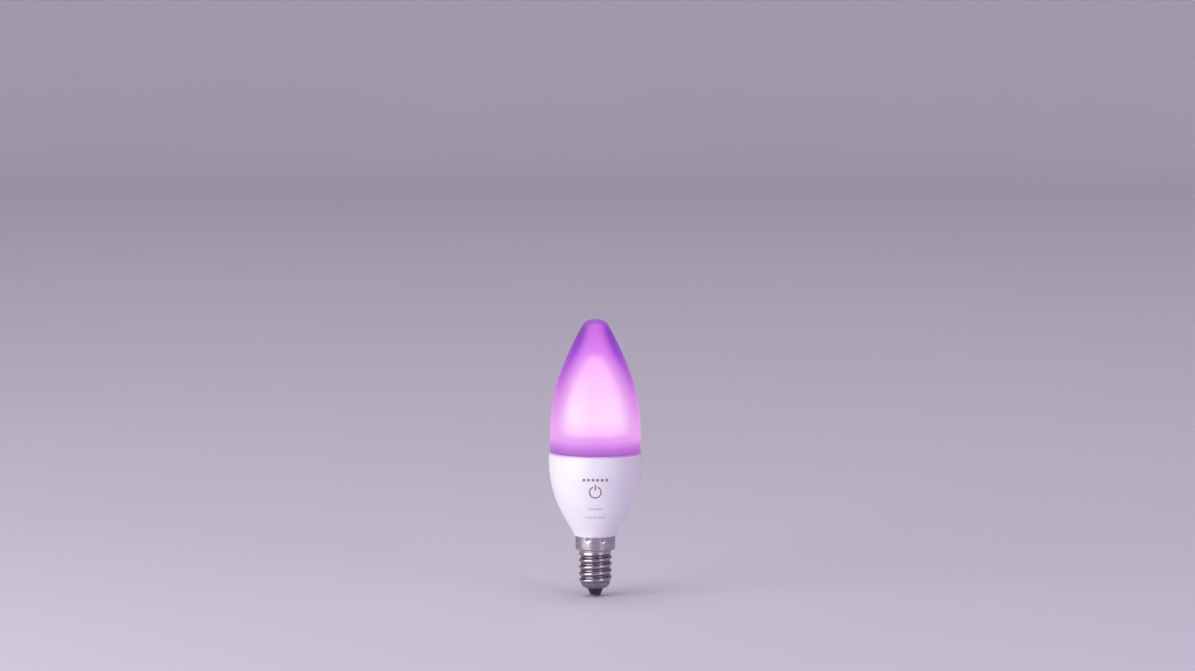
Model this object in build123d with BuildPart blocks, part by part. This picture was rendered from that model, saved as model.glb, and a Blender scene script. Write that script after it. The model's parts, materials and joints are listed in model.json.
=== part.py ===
"""Smart candle lamp with a small screw cap, modelled piece by piece.

Frame: millimetres, +Z from the cap towards the candle's tip, +X to the right and -Y towards the front.
The origin is the middle of the centre contact's end face, the lowest point of the lamp.
"""

from build123d import *

import math
import os

os.makedirs("parts", exist_ok=True)

# ---- Driving dimensions of the lamp ----
lamp_height = 117.0
housing_radius = 19.5
seam_height = 60.6
housing_foot = 26.0
skirt_top = 25.6
running_gap = 0.1

# ---- Candle envelope: four tangent arcs from the tip to the belly ----
envelope_wall = 1.5
crown_radius = 8.5
crown_turn = 27.0
shoulder_radius = 3.5
shoulder_turn = 34.5
upper_flank_radius = 172.5
upper_flank_turn = 7.0
lower_flank_radius = 68.3
lower_flank_turn = 90.0 - crown_turn - shoulder_turn - upper_flank_turn
envelope_foot = 61.0
envelope_foot_rounding = 0.6
spigot_inset = 1.6
spigot_radius = housing_radius - spigot_inset
spigot_wall = 1.4
spigot_foot = 57.6
spigot_blend_height = 63.5
seal_inset = 0.9

# ---- Inner diffuser ----
diffuser_tip = 101.6
diffuser_wall = 1.2
diffuser_crown_radius = 4.6
diffuser_crown_turn = 57.0
diffuser_flank_radius = 70.0
diffuser_foot = 67.4
diffuser_flange_radius = 15.1
diffuser_flange_thickness = 0.8

# ---- Housing cup: a short straight rim, one arc and a straight cone ----
housing_wall = 1.5
cup_arc_top = 57.0
cup_arc_radius = 46.0
cup_turn = 30.0
foot_rim_height = 0.6
foot_rim_radius = 9.05
rim_rounding = 0.4
cavity_floor = 28.8
collar_bore = 6.4
collar_radius = 8.05
collar_foot = 20.2
collar_floor = 21.7
collar_chamfer = 0.9
neck_radius = 5.7
neck_bore = 4.4
neck_foot = 9.5

# ---- Screw cap, standard small thread with rolled round profile ----
sheet = 0.3
thread_major_radius = 6.945
thread_minor_radius = 6.145
thread_pitch = 2.822
thread_rounding = 0.822
thread_foot = 7.2
thread_turns = 5.0
thread_start_angle = -110.0
thread_fade_depth = 1.2
thread_fade_top = 10.8
groove_first_turn = 1.0
groove_last_turn = 4.0
cap_hole_radius = 3.55
cap_foot = 3.5
cap_foot_rounding = 2.5
skirt_radius = 8.4
skirt_height = 5.8
skirt_rounding = 0.8
crimp_count = 8
crimp_first_angle = 22.5
crimp_radius = 1.1
crimp_depth = 0.45
crimp_below_rim = 1.1

# ---- Cap insulator and centre contact ----
contact_radius = 2.1
contact_face_radius = 1.3
contact_head = 0.8
contact_edge = 0.5
shank_radius = 0.95
shank_bore = 0.65
shank_top = 8.2
insulator_end_radius = 2.4
insulator_cone_radius = 3.4
insulator_cone_top = 3.3
insulator_top = 7.6
insulator_gap = 0.05

# ---- Heat spreader, thermal pad and light board ----
pedestal_radius = 13.6
pedestal_top = 64.7
pedestal_foot = 60.0
spreader_wall = 1.2
spreader_ledge_radius = 16.2
spreader_step = 57.2
spreader_skirt = 1.0
spreader_foot = 36.0
pad_thickness = 0.3
pad_radius = 12.8
light_board_radius = 13.2
light_board_thickness = 1.0
light_board_foot = pedestal_top + pad_thickness
light_board_top = light_board_foot + light_board_thickness
window_length = 12.8
window_depth = 6.0
window_middle = 0.4
light_ring_radius = 10.4
lights_of_each_kind = 6
reflector_thickness = 0.5
reflector_radius = 12.8
reflector_opening = 3.8
holder_outer_radius = 15.6
holder_inner_radius = 13.8
holder_lip_radius = 12.3
holder_lip_foot = 66.6
holder_foot = 60.1
holder_rim = 68.6

# ---- Board screws ----
screw_offset = 6.4
screw_shank_radius = 0.95
screw_shank_length = 5.0
screw_head_radius = 1.65
screw_head_height = 1.2
screw_recess_radius = 0.8
screw_hole_radius = 1.1
boss_radius = 1.8
boss_foot = 60.0

# ---- Driver board and insulating sleeve ----
sleeve_inset = 2.8
sleeve_wall = 0.8
sleeve_foot = 29.0
sleeve_top = 55.8
driver_thickness = 1.0
driver_top = 57.0
driver_shoulder = 43.0
driver_waist = 37.0
driver_hip = 31.0
driver_tab_foot = 15.0
driver_half_top = 12.5
driver_half_shoulder = 10.0
driver_half_hip = 6.8
driver_half_tab = 3.8
driver_face = driver_thickness / 2

# ---- Radio board ----
radio_width = 11.0
radio_thickness = 0.8
radio_front = 1.6
radio_foot = 54.8
radio_top = 78.0
radio_pin_height = 56.0


def candle_side(inset):
    """Draw the candle's side from tip to belly, moved inwards by inset, and return its last arc."""
    crown = JernArc(
        start=(0, lamp_height - inset),
        tangent=(1, 0),
        radius=crown_radius - inset,
        arc_size=-crown_turn,
    )
    shoulder = JernArc(
        start=crown @ 1,
        tangent=crown % 1,
        radius=shoulder_radius - inset,
        arc_size=-shoulder_turn,
    )
    upper_flank = JernArc(
        start=shoulder @ 1,
        tangent=shoulder % 1,
        radius=upper_flank_radius - inset,
        arc_size=-upper_flank_turn,
    )
    lower_flank = JernArc(
        start=upper_flank @ 1,
        tangent=upper_flank % 1,
        radius=lower_flank_radius - inset,
        arc_size=-lower_flank_turn,
    )
    return lower_flank


def cup_radius(inset, height):
    """Radius of the housing's outline, moved inwards by inset, at a height."""
    radius = cup_arc_radius - inset
    turn = math.radians(cup_turn)
    drop = max(cup_arc_top - height, 0)
    arc_drop = min(drop, radius * math.sin(turn))
    across = radius - math.sqrt(radius**2 - arc_drop**2)
    return housing_radius - inset - across - (drop - arc_drop) * math.tan(turn)


def cup_side(inset, top, bottom):
    """Draw the housing's outline, moved inwards by inset, from top down to bottom."""
    radius = cup_arc_radius - inset
    arc_top = min(top, cup_arc_top)
    arc_bottom = max(bottom, cup_arc_top - radius * math.sin(math.radians(cup_turn)))
    if top > arc_top:
        Line((housing_radius - inset, top), (housing_radius - inset, arc_top))
    first = math.degrees(math.asin((cup_arc_top - arc_top) / radius))
    last = math.degrees(math.asin((cup_arc_top - arc_bottom) / radius))
    CenterArc(
        center=(housing_radius - cup_arc_radius, cup_arc_top),
        radius=radius,
        start_angle=-first,
        arc_size=first - last,
    )
    if bottom < arc_bottom:
        Line((cup_radius(inset, arc_bottom), arc_bottom), (cup_radius(inset, bottom), bottom))


# ======== Candle ========

with BuildPart() as envelope:
    with BuildSketch(Plane.XZ):
        with BuildLine():
            outer_side = candle_side(0)
            belly = outer_side @ 1
            Line(belly, (belly.X, envelope_foot + envelope_foot_rounding))
            RadiusArc(
                (belly.X, envelope_foot + envelope_foot_rounding),
                (belly.X - envelope_foot_rounding, envelope_foot),
                envelope_foot_rounding,
            )
            inner_side = candle_side(envelope_wall)
            inner_belly = inner_side @ 1
            Polyline(
                (belly.X - envelope_foot_rounding, envelope_foot),
                (spigot_radius, envelope_foot),
                (spigot_radius, spigot_foot),
                (spigot_radius - spigot_wall, spigot_foot),
                (spigot_radius - spigot_wall, envelope_foot),
                (inner_belly.X, spigot_blend_height),
                (inner_belly.X, inner_belly.Y),
            )
            Line((0, lamp_height - envelope_wall), (0, lamp_height))
        make_face()
    revolve(axis=Axis.Z)
envelope.part.label = "envelope"
export_step(envelope.part, "parts/envelope.step")

with BuildPart() as seal_ring:
    with BuildSketch(Plane.XY.offset(seam_height)):
        Circle(housing_radius - seal_inset)
        Circle(spigot_radius + running_gap / 2, mode=Mode.SUBTRACT)
    extrude(amount=envelope_foot - seam_height)
seal_ring.part.label = "seal_ring"
export_step(seal_ring.part, "parts/seal_ring.step")


def diffuser_side(inset):
    """Draw the inner diffuser's side from tip to foot, moved inwards by inset, and return the flank."""
    crown = JernArc(
        start=(0, diffuser_tip - inset),
        tangent=(1, 0),
        radius=diffuser_crown_radius - inset,
        arc_size=-diffuser_crown_turn,
    )
    flank_radius = diffuser_flank_radius - inset
    slope = math.radians(90 - diffuser_crown_turn)
    drop = (crown @ 1).Y - diffuser_foot
    foot_slope = math.asin(math.sin(slope) - drop / flank_radius)
    flank = JernArc(
        start=crown @ 1,
        tangent=crown % 1,
        radius=flank_radius,
        arc_size=-math.degrees(slope - foot_slope),
    )
    return flank


with BuildPart() as inner_diffuser:
    with BuildSketch(Plane.XZ):
        with BuildLine():
            outer_flank = diffuser_side(0)
            inner_flank = diffuser_side(diffuser_wall)
            Line(outer_flank @ 1, inner_flank @ 1)
            Line((0, diffuser_tip - diffuser_wall), (0, diffuser_tip))
        make_face()
    revolve(axis=Axis.Z)
    with BuildSketch(Plane.XY.offset(diffuser_foot)):
        Circle(diffuser_flange_radius)
        Circle((inner_flank @ 1).X, mode=Mode.SUBTRACT)
    extrude(amount=diffuser_flange_thickness)
inner_diffuser.part.label = "inner_diffuser"
export_step(inner_diffuser.part, "parts/inner_diffuser.step")

with BuildPart() as diffuser_holder:
    with BuildSketch(Plane.XZ):
        with BuildLine():
            Polyline(
                (holder_inner_radius, holder_foot),
                (holder_outer_radius, holder_foot),
                (holder_outer_radius, holder_rim),
                (diffuser_flange_radius + running_gap / 2, holder_rim),
                (diffuser_flange_radius + running_gap / 2, diffuser_foot),
                (holder_lip_radius, diffuser_foot),
                (holder_lip_radius, holder_lip_foot),
                (holder_inner_radius, holder_lip_foot),
                close=True,
            )
        make_face()
    revolve(axis=Axis.Z)
diffuser_holder.part.label = "diffuser_holder"
export_step(diffuser_holder.part, "parts/diffuser_holder.step")

# ======== Housing ========


def crimp_balls(radius, mode):
    """Put a ball of the given radius at each crimp on the cap's skirt."""
    reach = skirt_radius + crimp_radius - crimp_depth
    with PolarLocations(reach, crimp_count, start_angle=crimp_first_angle):
        with Locations((0, 0, skirt_top - crimp_below_rim)):
            Sphere(radius, mode=mode)


foot_rim_top = housing_foot + foot_rim_height
with BuildPart() as housing:
    with BuildSketch(Plane.XZ):
        with BuildLine():
            cup_side(0, seam_height, foot_rim_top)
            cup_side(housing_wall, seam_height, cavity_floor)
            Line((housing_radius - housing_wall, seam_height), (housing_radius, seam_height))
            Polyline(
                (cup_radius(0, foot_rim_top), foot_rim_top),
                (foot_rim_radius, housing_foot),
                (collar_radius, housing_foot),
                (collar_radius, collar_foot + collar_chamfer),
                (collar_radius - collar_chamfer, collar_foot),
                (neck_radius, collar_foot),
                (neck_radius, neck_foot),
                (neck_bore, neck_foot),
                (neck_bore, collar_floor),
                (collar_bore, collar_floor),
                (collar_bore, cavity_floor),
                (cup_radius(housing_wall, cavity_floor), cavity_floor),
            )
        make_face()
    revolve(axis=Axis.Z)
    rim_edges = housing.edges().filter_by(GeomType.CIRCLE)
    outer_rim = rim_edges.filter_by(lambda edge: abs(edge.radius - housing_radius) < running_gap)
    fillet(outer_rim.sort_by(Axis.Z)[-1], rim_rounding)
    crimp_balls(crimp_radius + sheet + running_gap, Mode.SUBTRACT)
housing.part.label = "housing"
export_step(housing.part, "parts/housing.step")

# ======== Screw cap ========


def thread_ridge(inset, first_turn, last_turn):
    """The rolled ridge wound round the cap between two turns, moved inwards by inset."""
    crest_middle = thread_major_radius - thread_rounding
    half_pitch = thread_pitch / 2
    valley_middle = thread_minor_radius + thread_rounding
    slope = math.atan2(valley_middle - crest_middle, half_pitch)
    rounding = thread_rounding - inset
    flank_start = (
        crest_middle + rounding * math.sin(slope),
        rounding * math.cos(slope),
    )
    root = thread_minor_radius - inset - sheet
    reach = (flank_start[0] - root) * math.tan(slope)
    start_height = thread_foot + first_turn * thread_pitch
    with BuildPart() as ridge:
        with BuildLine() as path:
            Helix(
                pitch=thread_pitch,
                height=thread_pitch * (last_turn - first_turn),
                radius=thread_minor_radius,
                center=(0, 0, start_height),
            )
        with BuildSketch(Plane.XZ.shift_origin((0, 0, start_height))):
            with BuildLine():
                ThreePointArc(
                    (flank_start[0], -flank_start[1]),
                    (crest_middle + rounding, 0),
                    (flank_start[0], flank_start[1]),
                )
                Polyline(
                    (flank_start[0], flank_start[1]),
                    (root, flank_start[1] + reach),
                    (root, -flank_start[1] - reach),
                    (flank_start[0], -flank_start[1]),
                )
            make_face()
        sweep(path=path.line, is_frenet=True)
    with BuildPart() as turned_ridge:
        add(ridge.part, rotation=(0, 0, thread_start_angle + 360 * first_turn))
    return turned_ridge.part


def cap_core(inset):
    """The cap without its thread, filled, with its skin moved inwards by inset."""
    radius = thread_minor_radius - inset
    rounding = cap_foot_rounding - inset
    skirt = skirt_radius - inset
    shoulder = skirt_top - skirt_height + inset
    with BuildPart() as core:
        with BuildSketch(Plane.XZ):
            with BuildLine():
                Line((0, cap_foot + inset), (radius - rounding, cap_foot + inset))
                RadiusArc(
                    (radius - rounding, cap_foot + inset),
                    (radius, cap_foot + inset + rounding),
                    -rounding,
                )
                Polyline(
                    (radius, cap_foot + inset + rounding),
                    (radius, shoulder),
                    (skirt - skirt_rounding, shoulder),
                )
                RadiusArc(
                    (skirt - skirt_rounding, shoulder),
                    (skirt, shoulder + skirt_rounding),
                    -skirt_rounding,
                )
                Polyline(
                    (skirt, shoulder + skirt_rounding),
                    (skirt, skirt_top + inset),
                    (0, skirt_top + inset),
                    (0, cap_foot + inset),
                )
            make_face()
        revolve(axis=Axis.Z)
    return core.part


with BuildPart() as crimp_backs:
    crimp_balls(crimp_radius + sheet, Mode.ADD)
    with BuildSketch(Plane.XY.offset(skirt_top - skirt_height)):
        Circle(skirt_radius - sheet / 2)
    extrude(amount=skirt_height, mode=Mode.INTERSECT)

with BuildPart() as cap_shell:
    add(cap_core(0))
    add(thread_ridge(0, 0, thread_turns))
    with BuildSketch(Plane.XZ):
        with BuildLine():
            Polyline(
                (thread_minor_radius, cap_foot + cap_foot_rounding),
                (thread_minor_radius + thread_fade_depth, thread_fade_top),
                (thread_minor_radius + thread_fade_depth, cap_foot + cap_foot_rounding),
                close=True,
            )
        make_face()
    revolve(axis=Axis.Z, mode=Mode.SUBTRACT)
    add(cap_core(sheet), mode=Mode.SUBTRACT)
    add(thread_ridge(sheet, groove_first_turn, groove_last_turn), mode=Mode.SUBTRACT)
    with BuildSketch(Plane.XY.offset(cap_foot)):
        Circle(cap_hole_radius)
    extrude(amount=2 * sheet, mode=Mode.SUBTRACT)
    add(crimp_backs.part)
    crimp_balls(crimp_radius, Mode.SUBTRACT)
cap_shell.part.label = "cap_shell"
export_step(cap_shell.part, "parts/cap_shell.step")

# ======== Cap insulator and centre contact ========

insulator_radius = thread_minor_radius - sheet - insulator_gap
insulator_rounding = cap_foot_rounding - sheet - insulator_gap
insulator_seat = cap_foot + sheet + insulator_gap
with BuildPart() as cap_insulator:
    with BuildSketch(Plane.XZ):
        with BuildLine():
            Polyline(
                (shank_radius, contact_head),
                (insulator_end_radius, contact_head),
                (insulator_cone_radius, insulator_cone_top),
                (insulator_cone_radius, insulator_seat),
                (insulator_radius - insulator_rounding, insulator_seat),
            )
            RadiusArc(
                (insulator_radius - insulator_rounding, insulator_seat),
                (insulator_radius, insulator_seat + insulator_rounding),
                -insulator_rounding,
            )
            Polyline(
                (insulator_radius, insulator_seat + insulator_rounding),
                (insulator_radius, insulator_top),
                (shank_radius, insulator_top),
                (shank_radius, contact_head),
            )
        make_face()
    revolve(axis=Axis.Z)
cap_insulator.part.label = "cap_insulator"
export_step(cap_insulator.part, "parts/cap_insulator.step")

with BuildPart() as centre_contact:
    with BuildSketch(Plane.XZ):
        with BuildLine():
            Line((0, 0), (contact_face_radius, 0))
            TangentArc((contact_face_radius, 0), (contact_radius, contact_edge), tangent=(1, 0))
            Polyline(
                (contact_radius, contact_edge),
                (contact_radius, contact_head),
                (shank_radius, contact_head),
                (shank_radius, shank_top),
                (shank_bore, shank_top),
                (shank_bore, contact_head),
                (0, contact_head),
                (0, 0),
            )
        make_face()
    revolve(axis=Axis.Z)
centre_contact.part.label = "centre_contact"
export_step(centre_contact.part, "parts/centre_contact.step")

# ======== Heat spreader, thermal pad, light board ========


def screw_places(radius, foot, height, mode):
    """Put a round of the given radius and height at each board screw."""
    with Locations((0, -screw_offset, foot), (0, screw_offset, foot)):
        Cylinder(radius, height, align=(Align.CENTER, Align.CENTER, Align.MIN), mode=mode)


def window(foot, height, margin):
    """Cut the opening that the pins and the radio board pass through."""
    with Locations((0, window_middle, foot)):
        Box(
            window_length - 2 * margin,
            window_depth - 2 * margin,
            height,
            align=(Align.CENTER, Align.CENTER, Align.MIN),
            mode=Mode.SUBTRACT,
        )


with BuildPart() as heat_spreader:
    with BuildSketch(Plane.XZ):
        with BuildLine():
            inset = housing_wall + running_gap
            step_under = spreader_step - spreader_skirt
            riser = spreader_ledge_radius - spreader_skirt
            cup_side(inset, spreader_step, spreader_foot)
            cup_side(inset + spreader_skirt, step_under, spreader_foot)
            Line(
                (cup_radius(inset, spreader_foot), spreader_foot),
                (cup_radius(inset + spreader_skirt, spreader_foot), spreader_foot),
            )
            Polyline(
                (cup_radius(inset, spreader_step), spreader_step),
                (spreader_ledge_radius, spreader_step),
                (spreader_ledge_radius, pedestal_foot),
                (pedestal_radius, pedestal_foot),
                (pedestal_radius, pedestal_top),
                (0, pedestal_top),
                (0, pedestal_top - spreader_wall),
                (pedestal_radius - spreader_wall, pedestal_top - spreader_wall),
                (pedestal_radius - spreader_wall, pedestal_foot - spreader_wall),
                (riser, pedestal_foot - spreader_wall),
                (riser, step_under),
                (cup_radius(inset + spreader_skirt, step_under), step_under),
            )
        make_face()
    revolve(axis=Axis.Z)
    screw_places(boss_radius, boss_foot, pedestal_top - boss_foot - spreader_wall / 2, Mode.ADD)
    screw_places(screw_shank_radius, boss_foot, pedestal_top - boss_foot, Mode.SUBTRACT)
    window(pedestal_top - 2 * spreader_wall, 3 * spreader_wall, 0)
heat_spreader.part.label = "heat_spreader"
export_step(heat_spreader.part, "parts/heat_spreader.step")

with BuildPart() as thermal_pad:
    with BuildSketch(Plane.XY.offset(pedestal_top)):
        Circle(pad_radius)
    extrude(amount=pad_thickness)
    screw_places(screw_hole_radius, pedestal_top, pad_thickness, Mode.SUBTRACT)
    window(pedestal_top, pad_thickness, 0)
thermal_pad.part.label = "thermal_pad"
export_step(thermal_pad.part, "parts/thermal_pad.step")

light_pin_spacing = 2.0
light_pin_count = 4
light_pin_front = -1.3
light_pin_radius = 0.3
pin_clearance = 0.1
radio_slot_gap = 0.3
with BuildPart() as light_board:
    with BuildSketch(Plane.XY.offset(light_board_foot)):
        Circle(light_board_radius)
        with Locations((0, light_pin_front)):
            with GridLocations(light_pin_spacing, 1, light_pin_count, 1):
                Circle(light_pin_radius + pin_clearance, mode=Mode.SUBTRACT)
        with Locations((0, radio_front + radio_thickness / 2)):
            Rectangle(
                radio_width + 2 * radio_slot_gap,
                radio_thickness + 2 * radio_slot_gap,
                mode=Mode.SUBTRACT,
            )
        with Locations((0, -screw_offset), (0, screw_offset)):
            Circle(screw_hole_radius, mode=Mode.SUBTRACT)
    extrude(amount=light_board_thickness)
light_board.part.label = "light_board"
export_step(light_board.part, "parts/light_board.step")

white_light_length = 3.5
white_light_width = 2.8
white_light_height = 0.7
colour_light_side = 3.4
colour_light_height = 0.9
light_well_depth = 0.3
white_well_radius = 1.1
colour_well_radius = 1.25
colour_light_angle = 180.0 / lights_of_each_kind
with BuildPart() as white_lights:
    with BuildSketch(Plane.XY.offset(light_board_top)):
        with PolarLocations(light_ring_radius, lights_of_each_kind):
            Rectangle(white_light_width, white_light_length)
    extrude(amount=white_light_height)
    with BuildSketch(Plane.XY.offset(light_board_top + white_light_height)):
        with PolarLocations(light_ring_radius, lights_of_each_kind):
            Circle(white_well_radius)
    extrude(amount=-light_well_depth, mode=Mode.SUBTRACT)
white_lights.part.label = "white_lights"
export_step(white_lights.part, "parts/white_lights.step")

with BuildPart() as white_light_phosphors:
    with BuildSketch(Plane.XY.offset(light_board_top + white_light_height)):
        with PolarLocations(light_ring_radius, lights_of_each_kind):
            Circle(white_well_radius)
    extrude(amount=-light_well_depth)
white_light_phosphors.part.label = "white_light_phosphors"
export_step(white_light_phosphors.part, "parts/white_light_phosphors.step")

with BuildPart() as colour_lights:
    with BuildSketch(Plane.XY.offset(light_board_top)):
        with PolarLocations(light_ring_radius, lights_of_each_kind, start_angle=colour_light_angle):
            Rectangle(colour_light_side, colour_light_side)
    extrude(amount=colour_light_height)
    with BuildSketch(Plane.XY.offset(light_board_top + colour_light_height)):
        with PolarLocations(light_ring_radius, lights_of_each_kind, start_angle=colour_light_angle):
            Circle(colour_well_radius)
    extrude(amount=-light_well_depth, mode=Mode.SUBTRACT)
colour_lights.part.label = "colour_lights"
export_step(colour_lights.part, "parts/colour_lights.step")

with BuildPart() as colour_light_windows:
    with BuildSketch(Plane.XY.offset(light_board_top + colour_light_height)):
        with PolarLocations(light_ring_radius, lights_of_each_kind, start_angle=colour_light_angle):
            Circle(colour_well_radius)
    extrude(amount=-light_well_depth)
colour_light_windows.part.label = "colour_light_windows"
export_step(colour_light_windows.part, "parts/colour_light_windows.step")

sensor_place = (-4.6, 5.2)
sensor_opening = 1.4
sensor_size = (1.6, 0.8)
sensor_height = 0.8
with BuildPart() as board_thermistor:
    with BuildSketch(Plane.XY.offset(light_board_top)):
        with Locations(sensor_place):
            Rectangle(*sensor_size)
    extrude(amount=sensor_height)
board_thermistor.part.label = "board_thermistor"
export_step(board_thermistor.part, "parts/board_thermistor.step")

with BuildPart() as reflector:
    with BuildSketch(Plane.XY.offset(light_board_top)):
        Circle(reflector_radius)
        with PolarLocations(light_ring_radius, 2 * lights_of_each_kind):
            Rectangle(reflector_opening, reflector_opening, mode=Mode.SUBTRACT)
        with Locations((0, window_middle)):
            Rectangle(window_length, window_depth, mode=Mode.SUBTRACT)
        with Locations((0, -screw_offset), (0, screw_offset)):
            Circle(screw_hole_radius, mode=Mode.SUBTRACT)
        with Locations(sensor_place):
            Circle(sensor_opening, mode=Mode.SUBTRACT)
    extrude(amount=reflector_thickness)
reflector.part.label = "reflector"
export_step(reflector.part, "parts/reflector.step")

head_seat = light_board_top + reflector_thickness
with BuildPart() as board_screws:
    screw_places(screw_head_radius, head_seat, screw_head_height, Mode.ADD)
    fillet(board_screws.edges().group_by(Axis.Z)[-1], screw_head_height / 3)
    screw_places(screw_shank_radius, head_seat - screw_shank_length, screw_shank_length, Mode.ADD)
    chamfer(board_screws.edges().group_by(Axis.Z)[0], screw_shank_radius / 3)
    with BuildSketch(Plane.XY.offset(head_seat + screw_head_height)):
        with Locations((0, -screw_offset), (0, screw_offset)):
            RegularPolygon(screw_recess_radius, 6)
    extrude(amount=-screw_head_height / 2, mode=Mode.SUBTRACT)
board_screws.part.label = "board_screws"
export_step(board_screws.part, "parts/board_screws.step")

light_header_foot = 55.4
light_header_size = (8.6, 1.6, 1.6)
with BuildPart() as light_header:
    with BuildSketch(Plane.XY.offset(light_header_foot)):
        with Locations((0, light_pin_front)):
            Rectangle(light_header_size[0], light_header_size[1])
            with GridLocations(light_pin_spacing, 1, light_pin_count, 1):
                Circle(light_pin_radius, mode=Mode.SUBTRACT)
    extrude(amount=light_header_size[2])
    chamfer(light_header.edges().filter_by(Axis.Z), light_pin_radius)
light_header.part.label = "light_header"
export_step(light_header.part, "parts/light_header.step")

light_pin_foot = 55.0
light_pin_reach = 1.2
light_pin_top = light_board_top + light_pin_reach
with BuildPart() as light_pins:
    with BuildSketch(Plane.XY.offset(light_pin_foot)):
        with Locations((0, light_pin_front)):
            with GridLocations(light_pin_spacing, 1, light_pin_count, 1):
                Circle(light_pin_radius)
    extrude(amount=light_pin_top - light_pin_foot)
light_pins.part.label = "light_pins"
export_step(light_pins.part, "parts/light_pins.step")

# ======== Insulating sleeve and driver board ========

with BuildPart() as insulating_sleeve:
    with BuildSketch(Plane.XZ):
        with BuildLine():
            cup_side(sleeve_inset, sleeve_top, sleeve_foot)
            cup_side(sleeve_inset + sleeve_wall, sleeve_top, sleeve_foot)
            for height in (sleeve_top, sleeve_foot):
                Line(
                    (cup_radius(sleeve_inset, height), height),
                    (cup_radius(sleeve_inset + sleeve_wall, height), height),
                )
        make_face()
    revolve(axis=Axis.Z)
insulating_sleeve.part.label = "insulating_sleeve"
export_step(insulating_sleeve.part, "parts/insulating_sleeve.step")

radio_pin_spacing = 1.9
radio_pin_count = 5
radio_pin_radius = 0.3
driver_outline = (
    (driver_half_tab, driver_tab_foot),
    (driver_half_tab, driver_hip),
    (driver_half_hip, driver_hip),
    (driver_half_hip, driver_waist),
    (driver_half_shoulder, driver_waist),
    (driver_half_shoulder, driver_shoulder),
    (driver_half_top, driver_shoulder),
    (driver_half_top, driver_top),
)
with BuildPart() as driver_board:
    with BuildSketch(Plane.XZ):
        with BuildLine():
            Polyline((0, driver_tab_foot), *driver_outline, (0, driver_top))
            mirror(about=Plane.YZ)
        make_face()
        with Locations((0, radio_pin_height)):
            with GridLocations(radio_pin_spacing, 1, radio_pin_count, 1):
                Circle(radio_pin_radius + pin_clearance / 2, mode=Mode.SUBTRACT)
    extrude(amount=driver_face, both=True)
driver_board.part.label = "driver_board"
export_step(driver_board.part, "parts/driver_board.step")

# ---- Parts on the driver board: front is -Y, back is +Y ----
part_gap = 0.1
transformer_x = -5.6
transformer_stand = 4.3
transformer_y = -driver_face - transformer_stand
transformer_z = 49.5
transformer_middle = (transformer_x, transformer_y, transformer_z)
core_size = (10.2, 4.8, 10.6)
core_leg = 2.6
core_window = 2.4
core_yoke = 1.4
bobbin_wall = 0.5
bobbin_gap = 0.05
bobbin_flange = (7.2, 8.4)
window_height = core_size[2] - 2 * core_yoke
with BuildPart() as transformer_core:
    with Locations(transformer_middle):
        Box(*core_size)
    for side in (-1, 1):
        window_x = transformer_x + side * (core_leg + core_window) / 2
        with Locations((window_x, transformer_y, transformer_z)):
            Box(core_window, core_size[1], window_height, mode=Mode.SUBTRACT)
transformer_core.part.label = "transformer_core"
export_step(transformer_core.part, "parts/transformer_core.step")

bobbin_length = window_height - 2 * part_gap
tube_x = core_leg + 2 * (bobbin_gap + bobbin_wall)
tube_y = core_size[1] + 2 * (bobbin_gap + bobbin_wall)
with BuildPart() as transformer_bobbin:
    with Locations(transformer_middle):
        Box(tube_x, tube_y, bobbin_length)
    for end in (-1, 1):
        flange_z = transformer_z + end * (bobbin_length - bobbin_wall) / 2
        with Locations((transformer_x, transformer_y, flange_z)):
            Box(bobbin_flange[0], bobbin_flange[1], bobbin_wall)
    with Locations(transformer_middle):
        Box(core_leg + 2 * bobbin_gap, core_size[1] + 2 * bobbin_gap, window_height, mode=Mode.SUBTRACT)
transformer_bobbin.part.label = "transformer_bobbin"
export_step(transformer_bobbin.part, "parts/transformer_bobbin.step")

with BuildPart() as transformer_winding:
    with Locations(transformer_middle):
        Box(bobbin_flange[0] - bobbin_wall, bobbin_flange[1] - bobbin_wall, bobbin_length - 2 * bobbin_wall)
    fillet(transformer_winding.edges().filter_by(Axis.Z), bobbin_wall)
    with Locations(transformer_middle):
        Box(tube_x, tube_y, bobbin_length, mode=Mode.SUBTRACT)
transformer_winding.part.label = "transformer_winding"
export_step(transformer_winding.part, "parts/transformer_winding.step")


def can_capacitor(radius, height, middle):
    """A round aluminium can capacitor in its sleeve, upright, with its crimped groove near the foot."""
    foot = middle[2] - height / 2
    groove = radius / 10
    with BuildPart() as can:
        with Locations(middle):
            Cylinder(radius, height)
        fillet(can.edges().filter_by(GeomType.CIRCLE), groove)
        with Locations((middle[0], middle[1], foot + radius / 2)):
            Torus(radius + groove / 3, groove, mode=Mode.SUBTRACT)
    return can.part


output_can_radius = 4.0
output_can_height = 11.4
output_can_middle = (5.6, -driver_face - part_gap - output_can_radius, 49.3)
with BuildPart() as output_capacitor:
    add(can_capacitor(output_can_radius, output_can_height, output_can_middle))
output_capacitor.part.label = "output_capacitor"
export_step(output_capacitor.part, "parts/output_capacitor.step")

input_can_radius = 3.15
input_can_height = 10.8
input_can_middle = (-4.6, driver_face + part_gap + input_can_radius, 49.1)
with BuildPart() as input_capacitor:
    add(can_capacitor(input_can_radius, input_can_height, input_can_middle))
input_capacitor.part.label = "input_capacitor"
export_step(input_capacitor.part, "parts/input_capacitor.step")

film_size = (9.0, 4.6, 8.4)
film_middle = (5.4, driver_face + part_gap + film_size[1] / 2, 48.4)
film_rounding = 0.6
with BuildPart() as film_capacitor:
    with Locations(film_middle):
        Box(*film_size)
    fillet(film_capacitor.edges().filter_by(Axis.Y), film_rounding)
film_capacitor.part.label = "film_capacitor"
export_step(film_capacitor.part, "parts/film_capacitor.step")

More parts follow.
